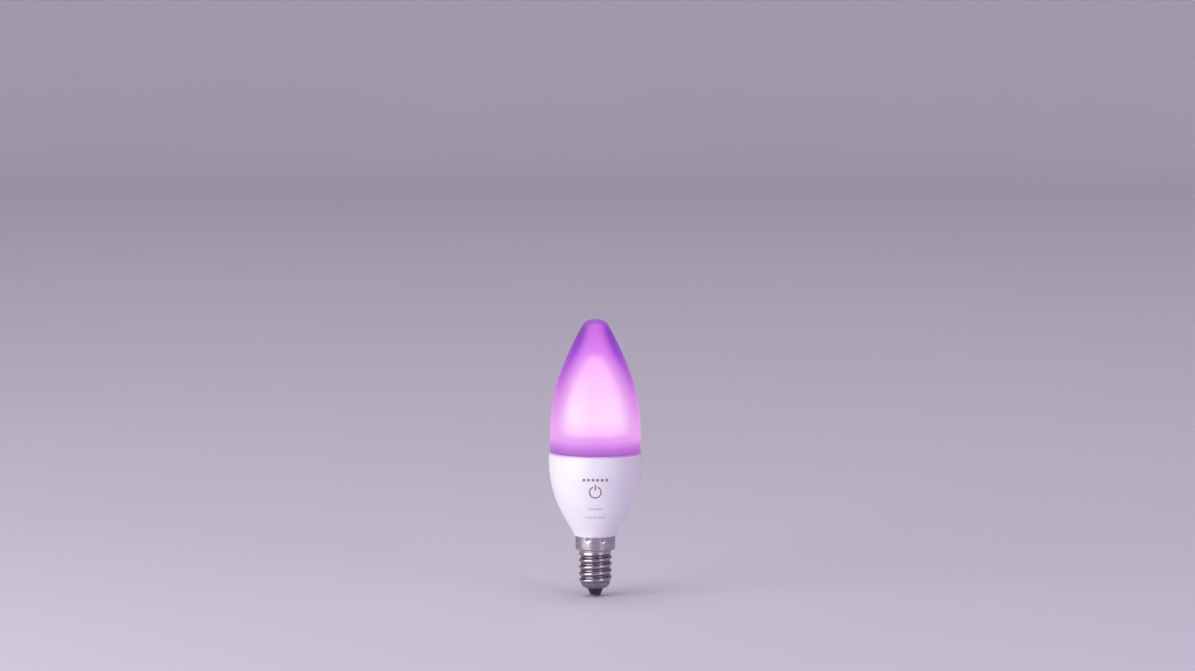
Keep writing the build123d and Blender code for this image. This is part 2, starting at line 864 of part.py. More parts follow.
drum_radius = 3.0
drum_waist = 1.4
drum_height = 6.4
drum_flange = 0.9
drum_middle = (0, -driver_face - part_gap - drum_radius, 38.0)
with BuildPart() as inductor_core:
    with Locations(drum_middle):
        Cylinder(drum_waist, drum_height)
    for end in (-1, 1):
        with Locations((0, drum_middle[1], drum_middle[2] + end * (drum_height - drum_flange) / 2)):
            Cylinder(drum_radius, drum_flange)
inductor_core.part.label = "inductor_core"
export_step(inductor_core.part, "parts/inductor_core.step")

with BuildPart() as inductor_winding:
    with Locations(drum_middle):
        Cylinder(drum_radius - 2 * part_gap, drum_height - 2 * drum_flange)
        Cylinder(drum_waist, drum_height, mode=Mode.SUBTRACT)
inductor_winding.part.label = "inductor_winding"
export_step(inductor_winding.part, "parts/inductor_winding.step")

lead_reach = 0.9
lead_height = 0.3


def flat_chip(size, middle, lead_count, lead_width):
    """A moulded chip flat on the back of the driver board, with leads along its left and right.

    size is its width, its thickness off the board and its height, and middle its x and z.
    """
    width, thickness, height = size
    with BuildPart() as chip:
        with Locations((middle[0], driver_face + part_gap + thickness / 2, middle[1])):
            Box(width, thickness, height)
        chamfer(chip.faces().sort_by(Axis.Y)[-1].edges(), thickness / 6)
        with BuildSketch(Plane.XZ.offset(-driver_face)):
            with Locations(middle):
                with GridLocations(width, height / lead_count, 2, lead_count):
                    Rectangle(2 * lead_reach, lead_width)
        extrude(amount=-lead_height)
    return chip.part


driver_chip_size = (3.9, 1.5, 4.9)
driver_chip_place = (0, 39.4)
driver_chip_leads = 4
driver_chip_lead_width = 0.45
with BuildPart() as driver_chip:
    add(flat_chip(driver_chip_size, driver_chip_place, driver_chip_leads, driver_chip_lead_width))
driver_chip.part.label = "driver_chip"
export_step(driver_chip.part, "parts/driver_chip.step")

bridge_size = (4.1, 1.6, 3.9)
bridge_place = (0, 33.8)
bridge_leads = 2
bridge_lead_width = 0.7
with BuildPart() as bridge_rectifier:
    add(flat_chip(bridge_size, bridge_place, bridge_leads, bridge_lead_width))
bridge_rectifier.part.label = "bridge_rectifier"
export_step(bridge_rectifier.part, "parts/bridge_rectifier.step")

transistor_size = (4.6, 2.2, 5.4)
transistor_place = (6.3, 40.0)
transistor_leads = 1
transistor_lead_width = 4.6
with BuildPart() as power_transistor:
    add(flat_chip(transistor_size, transistor_place, transistor_leads, transistor_lead_width))
power_transistor.part.label = "power_transistor"
export_step(power_transistor.part, "parts/power_transistor.step")

diode_size = (3.0, 2.1, 2.6)
diode_place = (-6.0, 40.0)
diode_leads = 1
diode_lead_width = 1.5
with BuildPart() as output_diode:
    add(flat_chip(diode_size, diode_place, diode_leads, diode_lead_width))
output_diode.part.label = "output_diode"
export_step(output_diode.part, "parts/output_diode.step")

fuse_radius = 1.2
fuse_length = 6.2
fuse_lead_radius = 0.3
fuse_lead_span = 8.6
fuse_x = -1.4
fuse_y = -driver_face - part_gap - fuse_radius
fuse_z = 25.6
with BuildPart() as fuse_resistor:
    with Locations((fuse_x, fuse_y, fuse_z)):
        Cylinder(fuse_radius, fuse_length)
        fillet(fuse_resistor.edges().filter_by(GeomType.CIRCLE), fuse_radius / 3)
        Cylinder(fuse_lead_radius, fuse_lead_span + 2 * fuse_lead_radius)
    with BuildSketch(Plane.XZ.offset(-fuse_y)):
        with Locations((fuse_x, fuse_z)):
            with GridLocations(1, fuse_lead_span, 1, 2):
                Circle(fuse_lead_radius)
    extrude(amount=fuse_y + driver_face)
fuse_resistor.part.label = "fuse_resistor"
export_step(fuse_resistor.part, "parts/fuse_resistor.step")

chip_part_size = (1.2, 2.0)
chip_part_height = 0.55
chip_row_z = 32.9
chip_row_spacing = 2.4
chip_row_count = 5
with BuildPart() as chip_resistors:
    with BuildSketch(Plane.XZ.offset(driver_face)):
        with Locations((0, chip_row_z)):
            with GridLocations(chip_row_spacing, 1, chip_row_count, 1):
                Rectangle(*chip_part_size)
    extrude(amount=chip_part_height)
chip_resistors.part.label = "chip_resistors"
export_step(chip_resistors.part, "parts/chip_resistors.step")

chip_capacitor_x = 5.4
chip_capacitor_z = 34.2
chip_capacitor_spacing = 2.8
with BuildPart() as chip_capacitors:
    with BuildSketch(Plane.XZ.offset(-driver_face)):
        with Locations((0, chip_capacitor_z)):
            with GridLocations(2 * chip_capacitor_x, chip_capacitor_spacing, 2, 2):
                Rectangle(*chip_part_size)
    extrude(amount=-2 * chip_part_height)
chip_capacitors.part.label = "chip_capacitors"
export_step(chip_capacitors.part, "parts/chip_capacitors.step")

# ======== Radio board ========

radio_back = radio_front + radio_thickness
radio_corner = 0.6
with BuildPart() as radio_board:
    with BuildSketch(Plane.XZ.offset(-radio_front)):
        with Locations((0, (radio_foot + radio_top) / 2)):
            RectangleRounded(radio_width, radio_top - radio_foot, radio_corner)
        with Locations((0, radio_pin_height)):
            with GridLocations(radio_pin_spacing, 1, radio_pin_count, 1):
                Circle(radio_pin_radius + pin_clearance / 2, mode=Mode.SUBTRACT)
    extrude(amount=-radio_thickness)
radio_board.part.label = "radio_board"
export_step(radio_board.part, "parts/radio_board.step")

radio_header_height = 1.6
with BuildPart() as radio_header:
    with BuildSketch(Plane.XZ.offset(-driver_face)):
        with Locations((0, radio_pin_height)):
            Rectangle(radio_pin_count * radio_pin_spacing, radio_header_height)
            with GridLocations(radio_pin_spacing, 1, radio_pin_count, 1):
                Circle(radio_pin_radius, mode=Mode.SUBTRACT)
    extrude(amount=driver_face - radio_front)
radio_header.part.label = "radio_header"
export_step(radio_header.part, "parts/radio_header.step")

radio_pin_reach = 0.4
with BuildPart() as radio_pins:
    with BuildSketch(Plane.XZ.offset(-radio_back - radio_pin_reach)):
        with Locations((0, radio_pin_height)):
            with GridLocations(radio_pin_spacing, 1, radio_pin_count, 1):
                Circle(radio_pin_radius)
    extrude(amount=radio_back + driver_face + radio_pin_reach)
radio_pins.part.label = "radio_pins"
export_step(radio_pins.part, "parts/radio_pins.step")

shield_size = (9.4, 6.2)
shield_foot = 57.0
shield_depth = 1.9
shield_sheet = 0.2
shield_middle_z = shield_foot + shield_size[1] / 2
with BuildPart() as radio_shield:
    with BuildSketch(Plane.XZ.offset(-radio_back)):
        with Locations((0, shield_middle_z)):
            Rectangle(*shield_size)
    extrude(amount=-shield_depth)
    fillet(radio_shield.edges().filter_by(Axis.Y), 2 * shield_sheet)
    fillet(radio_shield.faces().sort_by(Axis.Y)[-1].edges(), shield_sheet)
    with BuildSketch(Plane.XZ.offset(-radio_back)):
        with Locations((0, shield_middle_z)):
            Rectangle(shield_size[0] - 2 * shield_sheet, shield_size[1] - 2 * shield_sheet)
    extrude(amount=-shield_depth + shield_sheet, mode=Mode.SUBTRACT)
radio_shield.part.label = "radio_shield"
export_step(radio_shield.part, "parts/radio_shield.step")

radio_chip_side = 4.6
radio_chip_height = 0.9
radio_chip_x = -1.4
with BuildPart() as radio_chip:
    with BuildSketch(Plane.XZ.offset(-radio_back)):
        with Locations((radio_chip_x, shield_middle_z)):
            Rectangle(radio_chip_side, radio_chip_side)
    extrude(amount=-radio_chip_height)
radio_chip.part.label = "radio_chip"
export_step(radio_chip.part, "parts/radio_chip.step")

crystal_size = (1.6, 2.5)
crystal_rounding = 0.3
crystal_x = 2.8
with BuildPart() as radio_crystal:
    with BuildSketch(Plane.XZ.offset(-radio_back)):
        with Locations((crystal_x, shield_middle_z)):
            RectangleRounded(crystal_size[0], crystal_size[1], crystal_rounding)
    extrude(amount=-radio_chip_height)
radio_crystal.part.label = "radio_crystal"
export_step(radio_crystal.part, "parts/radio_crystal.step")

antenna_lift = 2.0
antenna_foot = light_board_top + antenna_lift
antenna_thickness = 0.1
antenna_width = 0.8
antenna_folds = 3
antenna_step = 2.8
antenna_half_width = 4.0
antenna_points = [(-antenna_half_width, antenna_foot)]
for fold in range(antenna_folds):
    antenna_z = antenna_foot + (fold + 1) * antenna_step
    side = -1 if fold % 2 == 0 else 1
    antenna_points += [(side * antenna_half_width, antenna_z), (-side * antenna_half_width, antenna_z)]
with BuildPart() as antenna:
    with BuildSketch(Plane.XZ.offset(-radio_back)):
        with BuildLine() as antenna_path:
            Polyline(*antenna_points)
        trace(antenna_path.line, line_width=antenna_width)
    extrude(amount=-antenna_thickness)
antenna.part.label = "antenna"
export_step(antenna.part, "parts/antenna.step")

# ======== Supply wires ========

wire_radius = 0.3
insulation_radius = 0.6
wire_offset = 2.4
wire_bend = 1.2
live_bend_height = 12.6
live_entry_height = 10.0
neutral_height = 8.6
shell_inside = thread_minor_radius - sheet


def bare_wire(route):
    """A round conductor along a route of straight runs with rounded corners."""
    with BuildPart() as wire:
        with BuildLine() as path:
            FilletPolyline(*route, radius=wire_bend)
        with BuildSketch(Plane(origin=path.line @ 0, z_dir=path.line % 0)):
            Circle(wire_radius)
        sweep(path=path.line)
    return wire.part


def wire_sleeve(route):
    """The insulation on a conductor, along the same rounded route."""
    with BuildPart() as sleeve:
        with BuildLine() as path:
            FilletPolyline(*route, radius=wire_bend)
        with BuildSketch(Plane(origin=path.line @ 0, z_dir=path.line % 0)):
            Circle(insulation_radius)
            Circle(wire_radius, mode=Mode.SUBTRACT)
        sweep(path=path.line)
    return sleeve.part


wire_end = 1.0
sleeve_clearance = 0.2
live_sleeve_end = shank_top + sleeve_clearance
live_middle = ((-wire_offset, 0, live_bend_height), (0, 0, live_entry_height))
neutral_middle = ((wire_offset, 0, neutral_height),)
with BuildPart() as live_wire:
    add(bare_wire(((-wire_offset, 0, driver_tab_foot), *live_middle, (0, 0, wire_end))))
live_wire.part.label = "live_wire"
export_step(live_wire.part, "parts/live_wire.step")

with BuildPart() as live_wire_sleeve:
    add(wire_sleeve(((-wire_offset, 0, driver_tab_foot - wire_end), *live_middle, (0, 0, live_sleeve_end))))
live_wire_sleeve.part.label = "live_wire_sleeve"
export_step(live_wire_sleeve.part, "parts/live_wire_sleeve.step")

with BuildPart() as neutral_wire:
    add(bare_wire(((wire_offset, 0, driver_tab_foot), *neutral_middle, (shell_inside, 0, neutral_height))))
neutral_wire.part.label = "neutral_wire"
export_step(neutral_wire.part, "parts/neutral_wire.step")

with BuildPart() as neutral_wire_sleeve:
    add(
        wire_sleeve(
            (
                (wire_offset, 0, driver_tab_foot - wire_end),
                *neutral_middle,
                (shell_inside - wire_end, 0, neutral_height),
            )
        )
    )
neutral_wire_sleeve.part.label = "neutral_wire_sleeve"
export_step(neutral_wire_sleeve.part, "parts/neutral_wire_sleeve.step")
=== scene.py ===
"""Looks of a smart candle lamp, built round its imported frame.

Every length is in metres, in the frame's own axes: +Z from the screw cap to the candle's tip, -Y to the
front. The lamp stands on its centre contact, at the origin.
"""

import json
import logging
import math
from collections.abc import Sequence
from dataclasses import dataclass, field
from enum import Enum

import bpy
import numpy as np
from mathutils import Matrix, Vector


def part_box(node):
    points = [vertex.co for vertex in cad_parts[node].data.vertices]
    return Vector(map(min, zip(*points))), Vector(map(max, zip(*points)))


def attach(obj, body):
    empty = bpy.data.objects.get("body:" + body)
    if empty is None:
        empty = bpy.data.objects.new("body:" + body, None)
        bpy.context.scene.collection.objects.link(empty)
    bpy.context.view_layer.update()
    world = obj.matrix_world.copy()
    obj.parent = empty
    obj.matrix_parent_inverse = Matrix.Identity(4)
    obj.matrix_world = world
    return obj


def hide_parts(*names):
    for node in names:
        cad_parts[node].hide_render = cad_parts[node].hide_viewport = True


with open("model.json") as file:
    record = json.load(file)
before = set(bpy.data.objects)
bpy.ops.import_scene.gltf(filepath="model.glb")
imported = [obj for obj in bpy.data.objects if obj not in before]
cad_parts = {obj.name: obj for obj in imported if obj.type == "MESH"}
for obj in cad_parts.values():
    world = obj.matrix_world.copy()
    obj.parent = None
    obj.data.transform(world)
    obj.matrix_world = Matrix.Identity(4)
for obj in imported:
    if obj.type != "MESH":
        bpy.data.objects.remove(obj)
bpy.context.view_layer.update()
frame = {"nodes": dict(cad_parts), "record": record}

BODY = "root"
TURN = 2 * math.pi
TINY = 1e-6

Colour = tuple[float, float, float]
log = logging.getLogger("candle_lamp")


# ---------------------------------------------------------------- outlines and surfaces


class Outline:
    """A line drawn in the half plane (radius, height) by a pen that keeps its heading."""

    def __init__(self, radius: float, height: float, heading: float = 0.0) -> None:
        """Put the pen down.

        Args:
            radius: The first point's distance from the lamp's axis.
            height: The first point's height.
            heading: The way the pen looks, in degrees, 0 outwards and 90 up.
        """
        self.points: list[np.ndarray] = [np.array([[radius, height]])]
        self.heading = math.radians(heading)

    @property
    def pen(self) -> np.ndarray:
        """Where the pen stands."""
        return self.points[-1][-1]

    def arc(self, radius: float, turn: float, step: float = 2.0) -> "Outline":
        """Draw a round stretch that starts along the heading.

        The centre stands one radius to the side of the pen, and the points go round it by equal angles.

        Args:
            radius: The arc's radius.
            turn: How far it turns, in degrees, left for more than 0.
            step: The largest turn between two points, in degrees.

        Returns:
            This outline.
        """
        side = math.copysign(1.0, turn)
        across = np.array([-math.sin(self.heading), math.cos(self.heading)]) * side
        centre = self.pen + across * radius
        count = max(2, math.ceil(abs(turn) / step))
        angles = math.radians(turn) * np.arange(1, count + 1) / count
        start = -across * radius
        cos, sin = np.cos(angles), np.sin(angles)
        ring = np.stack([cos * start[0] - sin * start[1], sin * start[0] + cos * start[1]], axis=1)
        self.points.append(centre + ring)
        self.heading += math.radians(turn)
        return self

    def to(self, radius: float, height: float, pieces: int = 1) -> "Outline":
        """Draw a straight stretch to a point, and turn the pen along it.

        Args:
            radius: The point's distance from the axis.
            height: The point's height.
            pieces: How many equal pieces the stretch has.

        Returns:
            This outline.
        """
        goal = np.array([radius, height])
        way = goal - self.pen
        shares = np.arange(1, pieces + 1)[:, None] / pieces
        self.points.append(self.pen + shares * way)
        self.heading = math.atan2(way[1], way[0])
        return self

    def line(self) -> np.ndarray:
        """All points in order, as rows of radius and height."""
        return np.concatenate(self.points)


def grid_mesh(
    name: str, grid: np.ndarray, around: bool, along: bool, poles: tuple[bool, bool]
) -> bpy.types.Object:
    """Turn a grid of points into one mesh object.

    Each cell between two rows and two columns is a face. A closed direction joins its last row or column to
    its first, and a row that is a pole is one point with a fan of triangles.

    Args:
        name: The piece's name.
        grid: Points as an array of rows, columns and three coordinates.
        around: Whether the columns close into a ring.
        along: Whether the rows close into a ring.
        poles: Whether the first and the last row are poles.

    Returns:
        The object, linked to the scene, shaded smooth.
    """
    rows, columns = grid.shape[:2]
    index = np.arange(rows * columns).reshape(rows, columns)
    if poles[0]:
        index[0] = index[0, 0]
    if poles[1]:
        index[-1] = index[-1, 0]
    lower = index if along else index[:-1]
    upper = np.roll(index, -1, axis=0) if along else index[1:]
    left, right = (lower, np.roll(lower, -1, axis=1)) if around else (lower[:, :-1], lower[:, 1:])
    upper_left, upper_right = (upper, np.roll(upper, -1, axis=1)) if around else (upper[:, :-1], upper[:, 1:])
    quads = np.stack([left, right, upper_right, upper_left], axis=-1).reshape(-1, 4)
    used, places = np.unique(quads, return_inverse=True)
    quads = places.reshape(-1, 4)
    bottom_fan = quads[:, 0] == quads[:, 1]
    top_fan = quads[:, 2] == quads[:, 3]
    faces = quads[~(bottom_fan | top_fan)].tolist()
    faces += quads[bottom_fan][:, [0, 2, 3]].tolist()
    faces += quads[top_fan][:, [0, 1, 2]].tolist()
    mesh = bpy.data.meshes.new(name)
    mesh.from_pydata(grid.reshape(-1, 3)[used], [], faces)
    mesh.update()
    mesh.shade_smooth()
    piece = bpy.data.objects.new(name, mesh)
    bpy.context.scene.collection.objects.link(piece)
    return piece


def spun_grid(line: np.ndarray, columns: int) -> np.ndarray:
    """Carry a line of radius and height round the lamp's axis.

    A point at radius r and height z becomes (r cos a, r sin a, z) for every angle a.

    Args:
        line: Rows of radius and height.
        columns: How many angles the turn has.

    Returns:
        Points as an array of rows, columns and three coordinates.
    """
    angle = np.arange(columns) * TURN / columns
    radius, height = line[:, :1], line[:, 1:]
    return np.stack(
        [radius * np.cos(angle), radius * np.sin(angle), np.broadcast_to(height, (len(line), columns))], axis=-1
    )


def lathe(name: str, line: np.ndarray, columns: int = 192, crease: float = 35.0) -> bpy.types.Object:
    """Spin a line into a closed piece with its faces outwards.

    The line runs clockwise round its own section, seen with the axis on the left. It either starts and ends
    on the axis or closes on itself.

    Args:
        name: The piece's name.
        line: Rows of radius and height.
        columns: How many angles the turn has.
        crease: The angle in degrees above which an edge is sharp.

    Returns:
        The piece.
    """
    on_axis = (bool(line[0, 0] < TINY), bool(line[-1, 0] < TINY))
    closed = not any(on_axis)
    piece = grid_mesh(name, spun_grid(line[::-1], columns), True, closed, (on_axis[1], on_axis[0]))
    piece.data.set_sharp_from_angle(angle=math.radians(crease))
    return piece


def smooth_step(low: float, high: float, value: np.ndarray) -> np.ndarray:
    """Rise from 0 at low to 1 at high as 3 t squared less 2 t cubed."""
    share = np.clip((value - low) / (high - low), 0.0, 1.0)
    return share * share * (3.0 - 2.0 * share)


# ---------------------------------------------------------------- shader maths


class Signal:
    """A socket of one material, so that shader maths reads as arithmetic."""

    def __init__(self, bench: "Bench", socket: bpy.types.NodeSocket) -> None:
        """Keep the socket and the bench that its maths is built on."""
        self.bench = bench
        self.socket = socket

    def maths(self, operation: str, *others: "Signal | float") -> "Signal":
        """Feed this socket and others into a Math node.

        Args:
            operation: The Math node's operation.
            others: What goes into its further inputs.

        Returns:
            The node's result.
        """
        return self.bench.add("ShaderNodeMath", {"operation": operation}, dict(enumerate((self, *others))))

    def __add__(self, other: "Signal | float") -> "Signal":
        """This plus other."""
        return self.maths("ADD", other)

    def __radd__(self, other: float) -> "Signal":
        """A number plus this."""
        return self.maths("ADD", other)

    def __sub__(self, other: "Signal | float") -> "Signal":
        """This less other."""
        return self.maths("SUBTRACT", other)

    def __rsub__(self, other: float) -> "Signal":
        """A number less this."""
        return self.bench.add("ShaderNodeMath", {"operation": "SUBTRACT"}, {0: other, 1: self})

    def __mul__(self, other: "Signal | float") -> "Signal":
        """This times other."""
        return self.maths("MULTIPLY", other)

    def __rmul__(self, other: float) -> "Signal":
        """A number times this."""
        return self.maths("MULTIPLY", other)

    def __truediv__(self, other: "Signal | float") -> "Signal":
        """This over other."""
        return self.maths("DIVIDE", other)

    def __abs__(self) -> "Signal":
        """This without its sign."""
        return self.maths("ABSOLUTE")

    def power(self, exponent: float) -> "Signal":
        """This raised to a power."""
        return self.maths("POWER", exponent)

    def wave(self, length: float) -> "Signal":
        """A sine of this that repeats after a length."""
        return (self * (TURN / length)).maths("SINE")

    def most(self, other: "Signal | float") -> "Signal":
        """The larger of this and other."""
        return self.maths("MAXIMUM", other)

    def below(self, edge: float, blur: float) -> "Signal":
        """1 where this is under edge and 0 over it, with a soft change of width blur."""
        return self.ramp(edge + blur / 2, edge - blur / 2)

    def ramp(
        self, start: "Signal | float", end: "Signal | float", low: float = 0.0, high: float = 1.0
    ) -> "Signal":
        """Map start to low and end to high with a soft start and end.

        Args:
            start: The value that gives low.
            end: The value that gives high.
            low: The result at start and beyond.
            high: The result at end and beyond.

        Returns:
            The mapped value.
        """
        values = {"Value": self, "From Min": start, "From Max": end, "To Min": low, "To Max": high}
        return self.bench.add("ShaderNodeMapRange", {"interpolation_type": "SMOOTHSTEP"}, values)


class Bench:
    """The nodes of one material, added from top to bottom."""

    def __init__(self, name: str) -> None:
        """Start an empty material of this name."""
        self.material = bpy.data.materials.new(name)
        self.material.use_nodes = True
        self.tree = self.material.node_tree
        self.tree.nodes.clear()
        self.place = self.add("ShaderNodeTexCoord", output="Object")

    def add(
        self, kind: str, settings: dict | None = None, values: dict | None = None, output: int | str = 0
    ) -> Signal:
        """Add one node.

        Args:
            kind: The node's type.
            settings: Its properties, set first. The key stops takes a colour ramp's stops.
            values: What each input holds: a number, a tuple or another signal.
            output: The output to return.

        Returns:
            The chosen output.
        """
        node = self.tree.nodes.new(kind)
        for key, setting in (settings or {}).items():
            if key == "stops":
                self._set_stops(node.color_ramp, setting)
            else:
                setattr(node, key, setting)
        for key, value in (values or {}).items():
            if isinstance(value, Signal):
                self.tree.links.new(value.socket, node.inputs[key])
            elif isinstance(value, tuple) and len(value) < len(node.inputs[key].default_value):
                node.inputs[key].default_value = (*value, 1.0)
            else:
                node.inputs[key].default_value = value
        return Signal(self, node.outputs[output])

    @staticmethod
    def _set_stops(ramp: bpy.types.ColorRamp, stops: Sequence[tuple[float, Colour]]) -> None:
        """Give a colour ramp its stops.

        Args:
            ramp: The ramp.
            stops: Places from 0 to 1, lowest first, each with its colour.
        """
        ramp.interpolation = "EASE" if len(stops) == 2 else "LINEAR"
        while len(ramp.elements) < len(stops):
            ramp.elements.new(1.0)
        for element, (place, colour) in zip(ramp.elements, stops):
            element.position = place
            element.color = (*colour, 1.0)

    def axes(self) -> tuple[Signal, Signal, Signal]:
        """The object coordinates x, y and z."""
        node = self.add("ShaderNodeSeparateXYZ", values={0: self.place}).socket.node
        return tuple(Signal(self, node.outputs[axis]) for axis in range(3))

    def noise(self, scale: float, detail: float = 3.0, stretch: Colour = (1.0, 1.0, 1.0)) -> Signal:
        """Noise in object coordinates.

        Args:
            scale: How many cells a metre holds.
            detail: How many finer layers are added.
            stretch: What the coordinates are multiplied by first.

        Returns:
            The noise, from 0 to 1.
        """
        where = self.add("ShaderNodeMapping", values={"Vector": self.place, "Scale": stretch})
        return self.add("ShaderNodeTexNoise", values={"Vector": where, "Scale": scale, "Detail": detail})

    def blend(self, share: Signal | float, first: Signal | Colour, second: Signal | Colour) -> Signal:
        """Mix two colours.

        Args:
            share: How much of the second there is.
            first: The colour at 0.
            second: The colour at 1.

        Returns:
            The mixed colour.
        """
        return self.add("ShaderNodeMix", {"data_type": "RGBA"}, {0: share, 6: first, 7: second}, output=2)

    def by_height(self, stops: Sequence[tuple[float, Colour]]) -> Signal:
        """Colour by height.

        Args:
            stops: Heights in metres, lowest first, each with its colour.

        Returns:
            The colour.
        """
        low, high = stops[0][0], stops[-1][0]
        share = (self.axes()[2] - low) / (high - low)
        scaled = [((height - low) / (high - low), colour) for height, colour in stops]
        return self.add("ShaderNodeValToRGB", {"stops": scaled}, {0: share})

    def bump(self, height: Signal, depth: float, strength: float = 1.0) -> Signal:
        """A normal bent by a height.

        Args:
            height: The height, from 0 to 1.
            depth: How many metres 1 stands for.
            strength: How much of the bend is kept.

        Returns:
            The normal.
        """
        return self.add("ShaderNodeBump", values={"Height": height, "Distance": depth, "Strength": strength})

    def principled(self, **values: Signal | float | Colour) -> Signal:
        """A Principled shader; an underscore in a socket's name stands for a space."""
        sockets = {key.replace("_", " "): value for key, value in values.items()}
        return self.add("ShaderNodeBsdfPrincipled", values=sockets)

    def done(self, surface: Signal) -> bpy.types.Material:
        """Join a shader to a new output node.

        Args:
            surface: The shader.

        Returns:
            The material.
        """
        output = self.tree.nodes.new("ShaderNodeOutputMaterial")
        self.tree.links.new(surface.socket, output.inputs["Surface"])
        return self.material


# ---------------------------------------------------------------- finishes


class Look:
    """Anything that can dress a piece."""

    def surface(self, bench: Bench) -> Signal:
        """The shader, which each look builds in its own way."""
        raise NotImplementedError

    def make(self, name: str) -> bpy.types.Material:
        """Build the material.

        Args:
            name: The material's name.

        Returns:
            The material.
        """
        bench = Bench(name)
        return bench.done(self.surface(bench))


@dataclass(frozen=True)
class Finish(Look):
    """A plain finish: two shades of one colour, clouded and finely grained."""

    colour: Colour
    shade: float = 0.82
    cloud_scale: float = 90.0
    cloud_band: tuple[float, float] = (0.35, 0.7)
    roughness: tuple[float, float] = (0.35, 0.5)
    grain_scale: float = 2500.0
    grain_depth: float = 0.00002
    metallic: float = 0.0
    coat: float = 0.0
    # Emission: the light of the lamp's emitters, and on the silicone and the white plastic a painted glow.
    glow: Colour = (0.0, 0.0, 0.0)
    glow_shade: float = 0.92
    glow_strength: float = 0.0

    def pattern(self, bench: Bench) -> Signal:
        """Where the second shade shows, from 0 to 1."""
        return bench.noise(self.cloud_scale).ramp(*self.cloud_band)

    def relief(self, bench: Bench) -> Signal:
        """The surface's height, from 0 to 1."""
        return bench.noise(self.grain_scale)

    def second(self) -> Colour:
        """The second shade."""
        return tuple(channel * self.shade for channel in self.colour)

    def surface(self, bench: Bench) -> Signal:
        """The two shades by the pattern, which the roughness follows.

        Args:
            bench: Where the nodes go.

        Returns:
            The shader.
        """
        pattern = self.pattern(bench)
        low, high = self.roughness
        second_glow = tuple(channel * self.glow_shade for channel in self.glow)
        return bench.principled(
            Base_Color=bench.blend(pattern, self.colour, self.second()),
            Roughness=pattern * (high - low) + low,
            Metallic=self.metallic,
            Coat_Weight=self.coat,
            Emission_Color=bench.blend(pattern, self.glow, second_glow),
            Emission_Strength=self.glow_strength,
            Normal=bench.bump(self.relief(bench), self.grain_depth),
        )


@dataclass(frozen=True)
class BoardFinish(Finish):
    """A glass-fibre board under solder mask, with the weave of its cloth."""

    weave: float = 0.0008

    def relief(self, bench: Bench) -> Signal:
        """Crossed waves in x and z for the cloth."""
        x, y, z = bench.axes()
        return (x.wave(self.weave) * (z + y).wave(self.weave)) * 0.5 + 0.5


@dataclass(frozen=True)
class WoundFinish(Finish):
    """Turns of enamelled wire or tape, seen as fine ridges along an axis."""

    pitch: float = 0.0003
    upright: bool = True

    def relief(self, bench: Bench) -> Signal:
        """A wave with one crest for each turn."""
        x, _, z = bench.axes()
        along = z if self.upright else x
        return along.wave(self.pitch) * 0.5 + 0.5


@dataclass(frozen=True)
class BrushedFinish(Finish):
    """Metal drawn in one direction, with long fine scratches."""

    stretch: Colour = (0.06, 0.06, 1.0)
    scratch_detail: float = 2.0

    def relief(self, bench: Bench) -> Signal:
        """Noise drawn out along the brushing."""
        return bench.noise(self.grain_scale, self.scratch_detail, self.stretch)


@dataclass(frozen=True)
class OpalCore(Look):
    """The opal inner diffuser, lit from inside: palest low down, and a fuller pink towards its tip."""

    stops: tuple[tuple[float, Colour], ...] = (
        (0.0674, (0.85, 0.42, 0.90)),
        (0.0700, (1.10, 0.78, 0.96)),
        (0.0760, (1.14, 1.16, 0.98)),
        (0.0840, (1.16, 1.08, 0.96)),
        (0.0920, (1.24, 1.02, 1.02)),
        (0.1020, (1.38, 0.94, 1.24)),
    )
    body: Colour = (0.10, 0.06, 0.10)
    roughness: float = 0.6
    cloud: Colour = (0.9, 0.5, 1.0)
    cloud_scale: float = 60.0
    cloud_share: float = 0.06
    grain_scale: float = 2200.0
    grain_depth: float = 0.00001
    clear: Colour = (1.0, 0.96, 1.0)
    edge_from: float = 0.35
    edge_open: float = 0.85

    def surface(self, bench: Bench) -> Signal:
        """Opal that glows by height, and lets light through where it is seen edge on.

        Args:
            bench: Where the nodes go.

        Returns:
            The shader.
        """
        light = bench.by_height(self.stops)
        cloud = bench.noise(self.cloud_scale, 1.0) * self.cloud_share
        opal = bench.principled(
            Base_Color=self.body,
            Roughness=self.roughness,
            Emission_Color=bench.blend(cloud, light, self.cloud),
            Emission_Strength=1.0,
            Normal=bench.bump(bench.noise(self.grain_scale), self.grain_depth),
        )
        facing = bench.add("ShaderNodeLayerWeight", values={"Blend": 0.5}, output="Facing")
        clear = bench.add("ShaderNodeBsdfTransparent", values={"Color": self.clear})
        edge = facing.ramp(self.edge_from, 1.0, 0.0, self.edge_open)
        return bench.add("ShaderNodeMixShader", values={0: edge, 1: opal, 2: clear})


